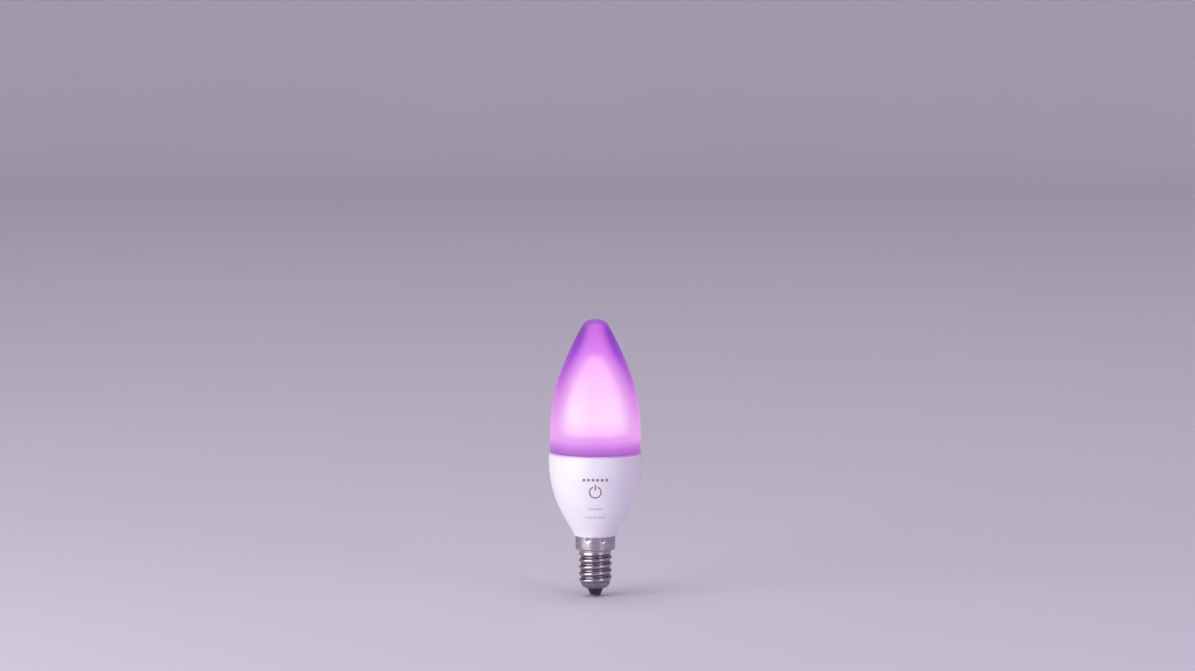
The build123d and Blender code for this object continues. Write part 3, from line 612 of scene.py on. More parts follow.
@dataclass(frozen=True)
class FrostedSkin(Look):
    """One face of the frosted envelope: a thin see-through glow that closes up where it is seen edge on."""

    stops: tuple[tuple[float, Colour], ...]
    open_share: float
    shut_low: float
    shut_high: float
    belly_band: tuple[float, float]
    tip_band: tuple[float, float]
    roughness: float
    foot_share: float = 0.0
    shut_heights: tuple[float, float] = (0.070, 0.096)
    tip_heights: tuple[float, float] = (0.092, 0.108)
    foot_heights: tuple[float, float] = (0.0725, 0.0640)
    body: Colour = (0.05, 0.02, 0.07)
    specular: float = 0.2
    frost_scale: float = 2600.0
    frost_roughness: float = 0.08
    frost_depth: float = 0.000012
    clear: tuple[Colour, Colour] = ((0.99, 0.95, 1.0), (0.95, 0.91, 0.97))
    blur: float = 0.4
    refraction: float = 1.4

    def surface(self, bench: Bench) -> Signal:
        """A blurred clear part, mixed with the glowing skin by height and by how steeply the face is seen.

        Args:
            bench: Where the nodes go.

        Returns:
            The shader.
        """
        height = bench.axes()[2]
        facing = bench.add("ShaderNodeLayerWeight", values={"Blend": 0.5}, output="Facing")
        shut = height.ramp(*self.shut_heights, self.shut_low, self.shut_high)
        tipwards = height.ramp(*self.tip_heights)
        start, end = (tipwards * (tip - belly) + belly for belly, tip in zip(self.belly_band, self.tip_band))
        share = facing.ramp(start, end) * (shut - self.open_share) + self.open_share
        share = share.most(height.ramp(*self.foot_heights, 0.0, self.foot_share))
        frost = bench.noise(self.frost_scale, 2.0)
        skin = bench.principled(
            Base_Color=self.body,
            Roughness=frost * self.frost_roughness + self.roughness,
            Specular_IOR_Level=self.specular,
            Emission_Color=bench.by_height(self.stops),
            Emission_Strength=1.0,
            Normal=bench.bump(frost, self.frost_depth),
        )
        clear = bench.principled(
            Base_Color=bench.blend(frost, *self.clear),
            Roughness=self.blur,
            Transmission_Weight=1.0,
            IOR=self.refraction,
        )
        return bench.add("ShaderNodeMixShader", values={0: share, 1: clear, 2: skin})


@dataclass(frozen=True)
class DashRow:
    """A printed row of small dashes, one for each pitch, out to a reach on both sides of the middle."""

    height: float
    reach: float
    pitch: float
    width: float


@dataclass(frozen=True)
class SatinHousing(Look):
    """White satin plastic with a small printed copper mark and two faint grey rows under it."""

    white: Colour = (0.86, 0.86, 0.88)
    second_white: Colour = (0.82, 0.82, 0.85)
    cloud_scale: float = 70.0
    cloud_band: tuple[float, float] = (0.3, 0.7)
    roughness: tuple[float, float] = (0.34, 0.40)
    coat: float = 0.12
    coat_roughness: float = 0.25
    grain_scale: float = 3200.0
    grain_depth: float = 0.000006
    copper: Colour = (0.26, 0.12, 0.08)
    copper_share: float = 0.9
    grey: Colour = (0.30, 0.28, 0.32)
    grey_share: float = 0.55
    ring_height: float = 0.0462
    ring_radius: float = 0.0024
    stroke: float = 0.00058
    gap_strokes: float = 1.6
    stem_height: float = 0.85
    stem_length: float = 1.1
    copper_row: DashRow = DashRow(0.0514, 0.0058, 0.0019, 0.0011)
    upper_grey_row: DashRow = DashRow(0.0388, 0.0029, 0.0011, 0.0009)
    lower_grey_row: DashRow = DashRow(0.0350, 0.0042, 0.0012, 0.0009)
    dash_share: float = 0.62
    shifted_dashes: int = 20
    soft_edge: float = 0.00008
    front_blur: float = 0.001

    def bar(self, along: Signal, across: Signal, length: float, width: float) -> Signal:
        """A bar centred where along and across are 0."""
        return abs(along).below(length / 2, self.soft_edge) * abs(across).below(width / 2, self.soft_edge)

    def dashes(self, x: Signal, z: Signal, row: DashRow) -> Signal:
        """Where a row of dashes is printed.

        The remainder of x over the pitch repeats the dash. Whole dashes are added first to keep x above 0.

        Args:
            x: Across the front.
            z: Up the front.
            row: The row.

        Returns:
            1 on a dash and 0 beside it.
        """
        cell = (x + row.pitch * self.shifted_dashes).maths("MODULO", row.pitch) - row.pitch / 2
        dash = self.bar(cell, z - row.height, row.pitch * self.dash_share, row.width)
        return dash * abs(x).below(row.reach, self.soft_edge)

    def emblem(self, x: Signal, z: Signal) -> Signal:
        """A ring that is open at its top, with a stem in the gap.

        Args:
            x: Across the front.
            z: Up the front.

        Returns:
            1 on the ring and the stem and 0 beside them.
        """
        rise = z - self.ring_height
        distance = (x * x + rise * rise).power(0.5)
        ring = abs(distance - self.ring_radius).below(self.stroke / 2, self.soft_edge)
        middle = abs(x).below(self.stroke * self.gap_strokes, self.soft_edge)
        gap = middle * (0.0 - rise).below(0.0, self.soft_edge)
        stem_middle = self.ring_radius * self.stem_height
        stem = self.bar(rise - stem_middle, x, self.ring_radius * self.stem_length, self.stroke)
        return (ring * (1.0 - gap)).most(stem)

    def surface(self, bench: Bench) -> Signal:
        """White under faint grey rows, and those under the copper mark.

        Args:
            bench: Where the nodes go.

        Returns:
            The shader.
        """
        x, y, z = bench.axes()
        front = y.below(0.0, self.front_blur)
        copper = self.emblem(x, z).most(self.dashes(x, z, self.copper_row))
        faint = self.dashes(x, z, self.upper_grey_row).most(self.dashes(x, z, self.lower_grey_row))
        cloud = bench.noise(self.cloud_scale)
        plain = bench.blend(cloud.ramp(*self.cloud_band), self.white, self.second_white)
        printed = bench.blend(faint * front * self.grey_share, plain, self.grey)
        printed = bench.blend(copper * front * self.copper_share, printed, self.copper)
        low, high = self.roughness
        return bench.principled(
            Base_Color=printed,
            Roughness=cloud * (high - low) + low,
            Coat_Weight=self.coat,
            Coat_Roughness=self.coat_roughness,
            Normal=bench.bump(bench.noise(self.grain_scale, 2.0), self.grain_depth),
        )


@dataclass(frozen=True)
class NickelPlate(Look):
    """Nickel-plated sheet: fine rings left by rolling, and painted shade in the thread valleys."""

    bright: Colour = (0.48, 0.44, 0.48)
    # Painted shade: the darker colour of the thread valleys, which the foot also gets in part.
    valley_shade: Colour = (0.22, 0.19, 0.22)
    valley: float = 0.00625
    crest: float = 0.0068
    foot_top: float = 0.0066
    foot_blend: float = 0.0008
    foot_unshaded: float = 0.45
    stain_scale: float = 260.0
    stain_detail: float = 4.0
    stain_band: tuple[float, float] = (0.4, 0.75)
    stain_dulling: float = 0.35
    stain_roughness: float = 0.06
    ring_scale: float = 1333.0
    ring_stretch: Colour = (0.05, 0.05, 3.0)
    ring_roughness: float = 0.08
    ring_depth: float = 0.000025
    roughness: float = 0.20

    def surface(self, bench: Bench) -> Signal:
        """Bright on the crests, darker with painted shade in the valleys, and duller under the stains.

        Args:
            bench: Where the nodes go.

        Returns:
            The shader.
        """
        x, y, z = bench.axes()
        radius = (x * x + y * y).power(0.5)
        # Painted shade: darker towards the thread valleys by radius, partly lifted on the foot.
        on_foot = z.ramp(self.foot_top, self.foot_top - self.foot_blend, 0.0, self.foot_unshaded)
        unshaded = radius.ramp(self.valley, self.crest).most(on_foot)
        stains = bench.noise(self.stain_scale, self.stain_detail).ramp(*self.stain_band)
        rings = bench.noise(self.ring_scale, 2.0, self.ring_stretch)
        return bench.principled(
            Base_Color=bench.blend(unshaded * (1.0 - stains * self.stain_dulling), self.valley_shade, self.bright),
            Metallic=1.0,
            Roughness=rings * self.ring_roughness + stains * self.stain_roughness + self.roughness,
            Normal=bench.bump(rings, self.ring_depth),
        )


class Slot(Enum):
    """The record's material slots that dress the nodes inside the lamp."""

    SILICONE = "silicone_seal"
    WHITE_PLASTIC = "white_plastic"
    ALUMINIUM = "aluminium"
    THERMAL = "thermal_silicone"
    WHITE_BOARD = "white_board"
    WHITE_FILM = "white_film"
    LIGHT_PACKAGE = "light_package"
    PHOSPHOR = "phosphor"
    COLOUR_WINDOW = "colour_window"
    STEEL = "steel"
    GREEN_BOARD = "green_board"
    DARK_BOARD = "dark_board"
    BLACK_EPOXY = "black_epoxy"
    FERRITE = "ferrite"
    BLACK_PLASTIC = "black_plastic"
    COPPER_WINDING = "copper_winding"
    YELLOW_TAPE = "yellow_tape"
    CAPACITOR = "capacitor_sleeve"
    FILM_BOX = "film_box"
    RESISTOR = "resistor_body"
    CHIP_CERAMIC = "chip_ceramic"
    TINNED = "tinned_metal"
    COPPER_FOIL = "copper_foil"
    BARE_COPPER = "bare_copper"
    RED_WIRE = "red_insulation"
    WHITE_WIRE = "white_insulation"
    SLEEVE = "sleeve_plastic"


INNER_FINISHES: dict[Slot, Finish] = {
    # Painted glow: the silicone and the white plastic emit nothing, and their purple emission stands in for the
    # lamp's light on them.
    Slot.SILICONE: Finish(
        (0.60, 0.45, 0.68), roughness=(0.45, 0.6), glow=(0.20, 0.06, 0.30), glow_strength=1.0
    ),
    Slot.WHITE_PLASTIC: Finish(
        (0.45, 0.40, 0.48), roughness=(0.4, 0.55), glow=(0.30, 0.10, 0.40), glow_strength=1.0
    ),
    Slot.ALUMINIUM: BrushedFinish((0.80, 0.80, 0.82), shade=0.88, roughness=(0.28, 0.42), metallic=1.0),
    Slot.THERMAL: Finish((0.36, 0.40, 0.46), roughness=(0.6, 0.8), grain_depth=0.00004),
    Slot.WHITE_BOARD: Finish((0.84, 0.84, 0.80), shade=0.93, roughness=(0.3, 0.4), coat=0.2),
    Slot.WHITE_FILM: Finish((0.90, 0.90, 0.90), shade=0.95, roughness=(0.55, 0.7)),
    Slot.LIGHT_PACKAGE: Finish((0.85, 0.82, 0.78), shade=0.94, glow=(0.5, 0.35, 0.5), glow_strength=1.0),
    Slot.PHOSPHOR: Finish((0.85, 0.62, 0.10), shade=0.9, glow=(0.9, 0.75, 0.35), glow_strength=1.5),
    Slot.COLOUR_WINDOW: Finish(
        (0.60, 0.30, 0.70), roughness=(0.1, 0.2), glow=(1.0, 0.25, 1.0), glow_strength=2.0
    ),
    Slot.STEEL: BrushedFinish((0.62, 0.62, 0.66), roughness=(0.25, 0.4), metallic=1.0),
    Slot.GREEN_BOARD: BoardFinish((0.015, 0.16, 0.06), shade=0.7, roughness=(0.25, 0.35), coat=0.4),
    Slot.DARK_BOARD: BoardFinish((0.008, 0.015, 0.035), shade=0.6, roughness=(0.25, 0.35), coat=0.4),
    Slot.BLACK_EPOXY: Finish((0.022, 0.022, 0.026), shade=0.7, roughness=(0.45, 0.6), grain_depth=0.00003),
    Slot.FERRITE: Finish((0.045, 0.045, 0.05), shade=0.6, roughness=(0.5, 0.7), grain_scale=1600.0),
    Slot.BLACK_PLASTIC: Finish((0.02, 0.02, 0.02), shade=0.6, roughness=(0.3, 0.45)),
    Slot.COPPER_WINDING: WoundFinish((0.62, 0.24, 0.09), shade=0.7, metallic=0.9, grain_depth=0.0001),
    Slot.YELLOW_TAPE: WoundFinish((0.86, 0.58, 0.03), shade=0.85, roughness=(0.2, 0.3), pitch=0.0022, coat=0.4),
    Slot.CAPACITOR: Finish((0.02, 0.02, 0.05), shade=0.7, roughness=(0.2, 0.3), coat=0.3, cloud_scale=300.0),
    Slot.FILM_BOX: Finish((0.72, 0.16, 0.02), shade=0.85, roughness=(0.25, 0.35), coat=0.2),
    Slot.RESISTOR: Finish((0.16, 0.30, 0.38), shade=0.8, roughness=(0.35, 0.5)),
    Slot.CHIP_CERAMIC: Finish((0.28, 0.18, 0.10), shade=0.8, roughness=(0.35, 0.5)),
    Slot.TINNED: BrushedFinish((0.72, 0.72, 0.72), shade=0.85, roughness=(0.2, 0.4), metallic=1.0),
    Slot.COPPER_FOIL: BrushedFinish((0.80, 0.50, 0.20), shade=0.85, roughness=(0.2, 0.35), metallic=1.0),
    Slot.BARE_COPPER: BrushedFinish((0.72, 0.38, 0.22), shade=0.8, roughness=(0.25, 0.4), metallic=1.0),
    Slot.RED_WIRE: Finish((0.42, 0.01, 0.01), shade=0.8, roughness=(0.4, 0.5)),
    Slot.WHITE_WIRE: Finish((0.78, 0.78, 0.74), shade=0.9, roughness=(0.4, 0.5)),
    Slot.SLEEVE: Finish((0.70, 0.68, 0.60), shade=0.88, roughness=(0.4, 0.55)),
}


# ---------------------------------------------------------------- sub-assemblies


@dataclass
class SubAssembly:
    """A group of pieces that belong together on the bench."""

    columns: int = 192
    pieces: list[bpy.types.Object] = field(default_factory=list)

    def fit(self, piece: bpy.types.Object, node: str, slot: str, *finishes: bpy.types.Material) -> None:
        """Put a finished piece in the place of its frame node.

        Args:
            piece: The new piece.
            node: The node that it stands for.
            slot: The record's material slot; not used.
            finishes: Its materials, one for each of the mesh's material numbers.
        """
        for finish in finishes:
            piece.data.materials.append(finish)
        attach(piece, BODY)
        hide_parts(node)
        self.pieces.append(piece)

    def report(self) -> None:
        """Log the name and the face count of each piece."""
        for piece in self.pieces:
            log.info("%s: %s, %d faces", type(self).__name__, piece.name, len(piece.data.polygons))


@dataclass
class Candle(SubAssembly):
    """The frosted envelope, the opal diffuser inside it and the bead under its foot."""

    wall: float = 0.0015
    crown_radius: float = 0.0085
    crown_turn: float = 27.0
    shoulder_radius: float = 0.0035
    shoulder_turn: float = 34.5
    upper_flank_radius: float = 0.1725
    upper_flank_turn: float = 7.0
    lower_flank_radius: float = 0.0683
    foot_rounding: float = 0.0006
    foot: float = 0.061
    spigot_radius: float = 0.0179
    spigot_wall: float = 0.0014
    spigot_blend: float = 0.0635
    diffuser_wall: float = 0.0012
    diffuser_crown_radius: float = 0.0046
    diffuser_crown_turn: float = 57.0
    diffuser_flank_radius: float = 0.070
    flange_thickness: float = 0.0008
    flange_joint: float = 0.00001
    bead_gap: float = 0.00006
    bead_rounding: float = 0.3

    def side(self, inset: float) -> np.ndarray:
        """The candle's side from its tip to its belly: four arcs, each tangent to the next.

        Args:
            inset: How far the side is moved inwards.

        Returns:
            Rows of radius and height.
        """
        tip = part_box("envelope")[1].z
        last_turn = 90.0 - self.crown_turn - self.shoulder_turn - self.upper_flank_turn
        pen = Outline(0.0, tip - inset)
        pen.arc(self.crown_radius - inset, -self.crown_turn)
        pen.arc(self.shoulder_radius - inset, -self.shoulder_turn)
        pen.arc(self.upper_flank_radius - inset, -self.upper_flank_turn, 0.25)
        pen.arc(self.lower_flank_radius - inset, -last_turn, 0.6)
        return pen.line()

    def envelope(self) -> bpy.types.Object:
        """The envelope as one closed shell: outer side, foot, spigot and inner side.

        Returns:
            The piece, with material 0 on its outer face and 1 on its inner face.
        """
        outer, inner = self.side(0.0), self.side(self.wall)
        spigot_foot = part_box("envelope")[0].z
        spigot_inside = self.spigot_radius - self.spigot_wall
        pen = Outline(*outer[-1], heading=-90.0)
        pen.to(outer[-1, 0], self.foot + self.foot_rounding, 12)
        pen.arc(self.foot_rounding, -90.0, 10.0)
        pen.to(self.spigot_radius, self.foot).to(self.spigot_radius, spigot_foot, 3)
        pen.to(spigot_inside, spigot_foot).to(spigot_inside, self.foot, 3)
        pen.to(inner[-1, 0], self.spigot_blend, 4).to(*inner[-1], 8)
        line = np.concatenate([outer, pen.line()[1:], inner[::-1][1:]])
        piece = lathe("frosted_envelope", line, self.columns)
        self.mark_inner(piece, spigot_inside)
        return piece

    def mark_inner(self, piece: bpy.types.Object, spigot_inside: float) -> None:
        """Give faces whose normal points to the axis, above the spigot, the second material number.

        Args:
            piece: The envelope.
            spigot_inside: The spigot's inner radius.
        """
        count = len(piece.data.polygons)
        centres, normals = np.empty(count * 3), np.empty(count * 3)
        piece.data.polygons.foreach_get("center", centres)
        piece.data.polygons.foreach_get("normal", normals)
        centres, normals = centres.reshape(-1, 3), normals.reshape(-1, 3)
        inwards = (centres[:, :2] * normals[:, :2]).sum(axis=1) < 0.0
        under_tip = (np.hypot(centres[:, 0], centres[:, 1]) < spigot_inside) & (normals[:, 2] < 0.0)
        piece.data.polygons.foreach_set("material_index", (inwards | under_tip).astype(np.int32))

    def diffuser_side(self, foot: float, tip: float, inset: float) -> np.ndarray:
        """The diffuser's side from its tip to its foot: a small arc, and a long one tangent to it.

        Args:
            foot: The height of its foot.
            tip: The height of its tip.
            inset: How far the side is moved inwards.

        Returns:
            Rows of radius and height.
        """
        pen = Outline(0.0, tip - inset)
        pen.arc(self.diffuser_crown_radius - inset, -self.diffuser_crown_turn, 4.0)
        radius = self.diffuser_flank_radius - inset
        slope = math.radians(90.0 - self.diffuser_crown_turn)
        foot_slope = math.asin(math.sin(slope) - (pen.pen[1] - foot) / radius)
        pen.arc(radius, -math.degrees(slope - foot_slope), 0.5)
        return pen.line()

    def diffuser(self) -> bpy.types.Object:
        """The opal diffuser: a small round tip, one long arc, and a flat flange at its foot.

        Returns:
            The piece.
        """
        low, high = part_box("inner_diffuser")
        outer = self.diffuser_side(low.z, high.z, 0.0)
        inner = self.diffuser_side(low.z, high.z, self.diffuser_wall)
        flange_top = low.z + self.flange_thickness
        above = outer[outer[:, 1] > flange_top + self.flange_joint]
        pen = Outline(*above[-1])
        pen.to(outer[-1, 0], flange_top).to(high.x, flange_top, 2).to(high.x, low.z).to(*inner[-1])
        return lathe("opal_diffuser", np.concatenate([above, pen.line()[1:], inner[::-1][1:]]), self.columns)

    def bead(self) -> bpy.types.Object:
        """The silicone bead between envelope and housing, with a round top edge.

        Returns:
            The piece.
        """
        low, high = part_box("seal_ring")
        inside = self.spigot_radius + self.bead_gap
        round_off = (high.z - low.z) * self.bead_rounding
        pen = Outline(inside, low.z, 90.0)
        pen.to(inside, high.z).to(high.x - round_off, high.z).arc(round_off, -90.0, 15.0).to(high.x, low.z)
        return lathe("seal_bead", pen.line(), self.columns)

    def build(self) -> None:
        """Make, dress and fit the candle's pieces."""
        outer_skin = FrostedSkin(
            stops=(
                (0.0610, (0.32, 0.10, 0.43)),
                (0.0640, (0.50, 0.17, 0.65)),
                (0.0680, (0.86, 0.37, 0.89)),
                (0.0720, (0.76, 0.34, 0.82)),
                (0.0850, (0.60, 0.20, 0.68)),
                (0.0930, (0.42, 0.12, 0.58)),
                (0.1040, (0.26, 0.05, 0.56)),
                (0.1120, (0.20, 0.035, 0.43)),
                (0.1170, (0.36, 0.11, 0.56)),
            ),
            open_share=0.13,
            shut_low=0.62,
            shut_high=0.98,
            belly_band=(0.15, 0.65),
            tip_band=(0.05, 0.40),
            roughness=0.45,
            foot_share=0.92,
        )
        inner_skin = FrostedSkin(
            stops=(
                (0.0610, (0.36, 0.12, 0.50)),
                (0.0660, (0.80, 0.34, 0.88)),
                (0.0740, (0.92, 0.45, 0.96)),
                (0.0900, (0.96, 0.38, 1.00)),
                (0.1020, (0.96, 0.24, 1.06)),
                (0.1150, (0.72, 0.13, 0.86)),
            ),
            open_share=0.5,
            shut_low=0.65,
            shut_high=0.8,
            belly_band=(0.3, 0.95),
            tip_band=(0.3, 0.95),
            roughness=0.5,
        )
        self.fit(
            self.envelope(),
            "envelope",
            "frosted_cover",
            outer_skin.make("frosted_outer_face"),
            inner_skin.make("frosted_inner_face"),
        )
        self.fit(self.diffuser(), "inner_diffuser", "opal_diffuser", OpalCore().make("lit_opal"))
        # The bead's silicone finish carries a painted purple glow.
        silicone = INNER_FINISHES[Slot.SILICONE].make("silicone_bead")
        self.fit(self.bead(), "seal_ring", "silicone_seal", silicone)


@dataclass
class Housing(SubAssembly):
    """The white cup with its collar and neck."""

    wall: float = 0.0015
    arc_top: float = 0.057
    arc_radius: float = 0.046
    turn: float = 30.0
    foot: float = 0.026
    foot_rim_height: float = 0.0006
    foot_rim_radius: float = 0.00905
    foot_rim_edge: float = 0.0001
    rim_rounding: float = 0.0004
    cavity_floor: float = 0.0288
    collar_bore: float = 0.0064
    collar_radius: float = 0.00805
    collar_foot: float = 0.0202
    collar_floor: float = 0.0217
    collar_chamfer: float = 0.0009
    neck_radius: float = 0.0057
    neck_bore: float = 0.0044

    def side(self, inset: float, top: float, bottom: float, rows: int) -> np.ndarray:
        """The cup's side between two heights: straight, then an arc, then the cone tangent to it.

        Above arc_top the radius is the rim's. Down the arc it falls by R - sqrt(R squared - drop squared),
        and below the arc by the drop times the tangent of the turn.

        Args:
            inset: How far the side is moved inwards.
            top: The first height.
            bottom: The last height.
            rows: How many points.

        Returns:
            Rows of radius and height.
        """
        radius = self.arc_radius - inset
        height = np.linspace(top, bottom, rows)
        drop = np.maximum(self.arc_top - height, 0.0)
        arc_drop = np.minimum(drop, radius * math.sin(math.radians(self.turn)))
        across = radius - np.sqrt(radius**2 - arc_drop**2)
        cone = (drop - arc_drop) * math.tan(math.radians(self.turn))
        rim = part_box("housing")[1].x
        return np.stack([rim - inset - across - cone, height], axis=1)

    def cup(self) -> bpy.types.Object:
        """The cup as one closed shell, from its rim down the outside, under the neck and up the inside.

        Returns:
            The piece.
        """
        low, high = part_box("housing")
        rounding, foot, edge = self.rim_rounding, self.foot, self.foot_rim_edge
        outer = self.side(0.0, high.z - rounding, foot + self.foot_rim_height, 120)
        inner = self.side(self.wall, high.z, self.cavity_floor, 60)
        start = Outline(high.x - rounding, high.z).arc(rounding, -90.0, 10.0).line()
        pen = Outline(*outer[-1])
        pen.to(self.foot_rim_radius, foot + edge).to(self.foot_rim_radius - edge, foot)
        pen.to(self.collar_radius, foot).to(self.collar_radius, self.collar_foot + self.collar_chamfer, 6)
        pen.to(self.collar_radius - self.collar_chamfer, self.collar_foot, 2)
        pen.to(self.neck_radius, self.collar_foot)
        pen.to(self.neck_radius, low.z, 10).to(self.neck_bore, low.z).to(self.neck_bore, self.collar_floor, 10)
        pen.to(self.collar_bore, self.collar_floor).to(self.collar_bore, self.cavity_floor, 4)
        line = np.concatenate([start, outer[1:], pen.line()[1:], inner[::-1]])
        return lathe("white_housing_cup", line, self.columns)

    def build(self) -> None:
        """Make, dress and fit the cup."""
        self.fit(self.cup(), "housing", "white_housing", SatinHousing().make("satin_white"))


@dataclass
class ScrewCap(SubAssembly):
    """The plated screw shell, the black insulator and the centre contact."""

    columns: int = 240
    sheet: float = 0.0003
    major_radius: float = 0.006945
    minor_radius: float = 0.006145
    pitch: float = 0.002822
    profile_radius: float = 0.000822
    thread_foot: float = 0.0072
    start_angle: float = -110.0
    fade_low: tuple[float, float] = (0.0046, 0.0072)
    fade_high: tuple[float, float] = (0.0178, 0.0188)
    neck_radius: float = 0.00675
    foot_rounding: float = 0.0025
    hole_radius: float = 0.00355
    skirt_height: float = 0.0058
    skirt_rounding: float = 0.0008
    crimp_count: int = 8
    crimp_angle: float = 22.5
    crimp_depth: float = 0.00032
    crimp_width: float = 0.0007
    crimp_drop: float = 0.0011
    crimp_steepness: float = 1.5
    shoulder_slope: float = 0.0002
    insulator_end: float = 0.0024
    insulator_lip: float = 0.0003
    insulator_lip_turn: float = 66.0
    insulator_cone: float = 0.0034
    insulator_cone_top: float = 0.0033
    insulator_edge: float = 0.0001
    insulator_seat: float = 0.00385
    insulator_rounding: float = 0.00215
    contact_face: float = 0.0013
    contact_edge: tuple[tuple[float, float], ...] = ((0.0004, 0.00006), (0.0001, 0.00028), (0.0, 0.0005))
    contact_head: float = 0.0008
    shank: float = 0.00095
    shank_bore: float = 0.00065

    def knuckle(self, offset: np.ndarray) -> np.ndarray:
        """Radius of the round thread by the distance from a crest's middle.

        Crest and valley are arcs of one radius, tangent a quarter of a pitch from the crest, so each is its
        arc centre plus or less the root of the squared radius less the squared distance from its own middle.

        Args:
            offset: The height over the nearest crest, within half a pitch of 0.

        Returns:
            The radius.
        """
        distance = np.abs(offset)
        crest_middle = self.major_radius - self.profile_radius
        valley_middle = self.minor_radius + self.profile_radius
        on_crest = np.minimum(distance, self.pitch / 4)
        in_valley = np.minimum(self.pitch / 2 - distance, self.pitch / 4)
        crest = crest_middle + np.sqrt(self.profile_radius**2 - on_crest**2)
        valley = valley_middle - np.sqrt(self.profile_radius**2 - in_valley**2)
        return np.where(distance < self.pitch / 4, crest, valley)

    def skin(self, line: np.ndarray, inset: float) -> np.ndarray:
        """Spin the shell's line and wind the thread and the crimps into it.

        On the wall between foot and skirt the radius is the knuckle of the height less the helix's own
        height, faded in from the foot and out to the plain neck. At each crimp the skirt dips by a round
        bell.

        Args:
            line: Rows of radius and height.
            inset: How far the skin lies under the outer face.

        Returns:
            Points as an array of rows, columns and three coordinates.
        """
        angle = np.arange(self.columns) * TURN / self.columns
        radius = np.broadcast_to(line[:, :1], (len(line), self.columns)).copy()
        height = np.broadcast_to(line[:, 1:], radius.shape)
        climb = (angle - math.radians(self.start_angle)) / TURN * self.pitch + self.thread_foot
        offset = (height - climb + self.pitch / 2) % self.pitch - self.pitch / 2
        fade_in = smooth_step(*self.fade_low, height)
        fade_out = smooth_step(*self.fade_high, height)
        wound = self.minor_radius + (self.knuckle(offset) - self.minor_radius) * fade_in
        wound += (self.neck_radius - wound) * fade_out
        on_wall = np.abs(line[:, :1] - (self.minor_radius - inset)) < TINY
        radius += np.where(on_wall, wound - self.minor_radius, 0.0)
        skirt_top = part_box("cap_shell")[1].z
        spacing = TURN / self.crimp_count
        around = (angle - math.radians(self.crimp_angle) + spacing / 2) % spacing - spacing / 2
        across = around[None, :] * radius
        down = height - (skirt_top - self.crimp_drop)
        bell = np.exp(-(((across**2 + down**2) / self.crimp_width**2) ** self.crimp_steepness))
        radius -= self.crimp_depth * bell
        return np.stack([radius * np.cos(angle), radius * np.sin(angle), height], axis=-1)

    def line(self, inset: float) -> np.ndarray:
        """The shell's plain line from the hole's edge up to the skirt's rim.

        Args:
            inset: How far it lies under the outer face.

        Returns:
            Rows of radius and height.
        """
        low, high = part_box("cap_shell")
        rounding = self.foot_rounding - inset
        wall = self.minor_radius - inset
        shoulder = high.z - self.skirt_height + inset
        skirt = high.x - inset
        pen = Outline(self.hole_radius, low.z + inset)
        pen.to(wall - rounding, low.z + inset, 2).arc(rounding, 90.0, 6.0)
        pen.to(wall, shoulder - self.shoulder_slope, 140).to(self.neck_radius - inset, shoulder)
        corner = self.skirt_rounding - inset * 0.5
        pen.to(skirt - corner, shoulder, 4).arc(corner, 90.0, 10.0).to(skirt, high.z, 30)
        return pen.line()

    def shell(self) -> bpy.types.Object:
        """The screw shell: an outer and an inner skin joined round the hole and along the rim.

        Returns:
            The piece.
        """
        outer = self.skin(self.line(0.0), 0.0)
        inner = self.skin(self.line(self.sheet), self.sheet)
        grid = np.concatenate([outer, inner[::-1]])
        piece = grid_mesh("nickel_cap_shell", grid, True, True, (False, False))
        piece.data.set_sharp_from_angle(angle=math.radians(40.0))
        return piece

    def insulator(self) -> bpy.types.Object:
        """The black insulator: a short cone with a rounded lip, and the body inside the shell.

        Returns:
            The piece.
        """
        low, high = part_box("cap_insulator")
        lip, seat, rounding = self.insulator_lip, self.insulator_seat, self.insulator_rounding
        pen = Outline(self.shank, low.z)
        pen.to(self.insulator_end - lip, low.z, 2).arc(lip, self.insulator_lip_turn, 8.0)
        pen.to(self.insulator_cone, self.insulator_cone_top - self.insulator_edge, 3)
        pen.to(self.insulator_cone, seat)
        pen.to(high.x - rounding, seat, 2).arc(rounding, 90.0, 8.0)
        pen.to(high.x, high.z, 3).to(self.shank, high.z, 2)
        return lathe("cap_insulator_glass", pen.line()[::-1], self.columns)

    def contact(self) -> bpy.types.Object:
        """The centre contact: a flat-faced rivet head with a round edge, and its hollow shank.

        Returns:
            The piece.
        """
        low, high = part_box("centre_contact")
        head, shank, bore = self.contact_head, self.shank, self.shank_bore
        pen = Outline(0.0, low.z).to(self.contact_face, low.z, 2)
        for inwards, height in self.contact_edge:
            pen.to(high.x - inwards, height)
        pen.to(high.x, head).to(shank, head).to(shank, high.z).to(bore, high.z).to(bore, head).to(0.0, head)
        return lathe("centre_contact_rivet", pen.line()[::-1], 96)

    def build(self) -> None:
        """Make, dress and fit the cap's pieces."""
        self.fit(self.shell(), "cap_shell", "nickel", NickelPlate().make("nickel_plate"))
        glass = Finish((0.012, 0.012, 0.014), shade=0.6, roughness=(0.12, 0.22), coat=0.5)
        self.fit(self.insulator(), "cap_insulator", "dark_glass", glass.make("black_glass"))
        rivet = BrushedFinish(
            (0.30, 0.29, 0.31), shade=0.7, roughness=(0.3, 0.5), metallic=1.0, grain_scale=1500.0
        )
        self.fit(self.contact(), "centre_contact", "contact_metal", rivet.make("dull_rivet"))


@dataclass
class Interior(SubAssembly):
    """Everything that keeps its own shape from the frame: boards, lights, spreader and wiring."""

    def build(self) -> None:
        """Give each node that is still shown the finish of its record slot."""
        record = frame["record"]
        slots = {row["node"]: row["material_slot"] for row in record["subparts"]}
        finished = {slot.value: INNER_FINISHES[slot].make(slot.value + "_finish") for slot in Slot}
        for name, node in frame["nodes"].items():
            if node.hide_render:
                continue
            node.data.materials.clear()
            node.data.materials.append(finished[slots[name]])
            self.pieces.append(node)


# ---------------------------------------------------------------- studio


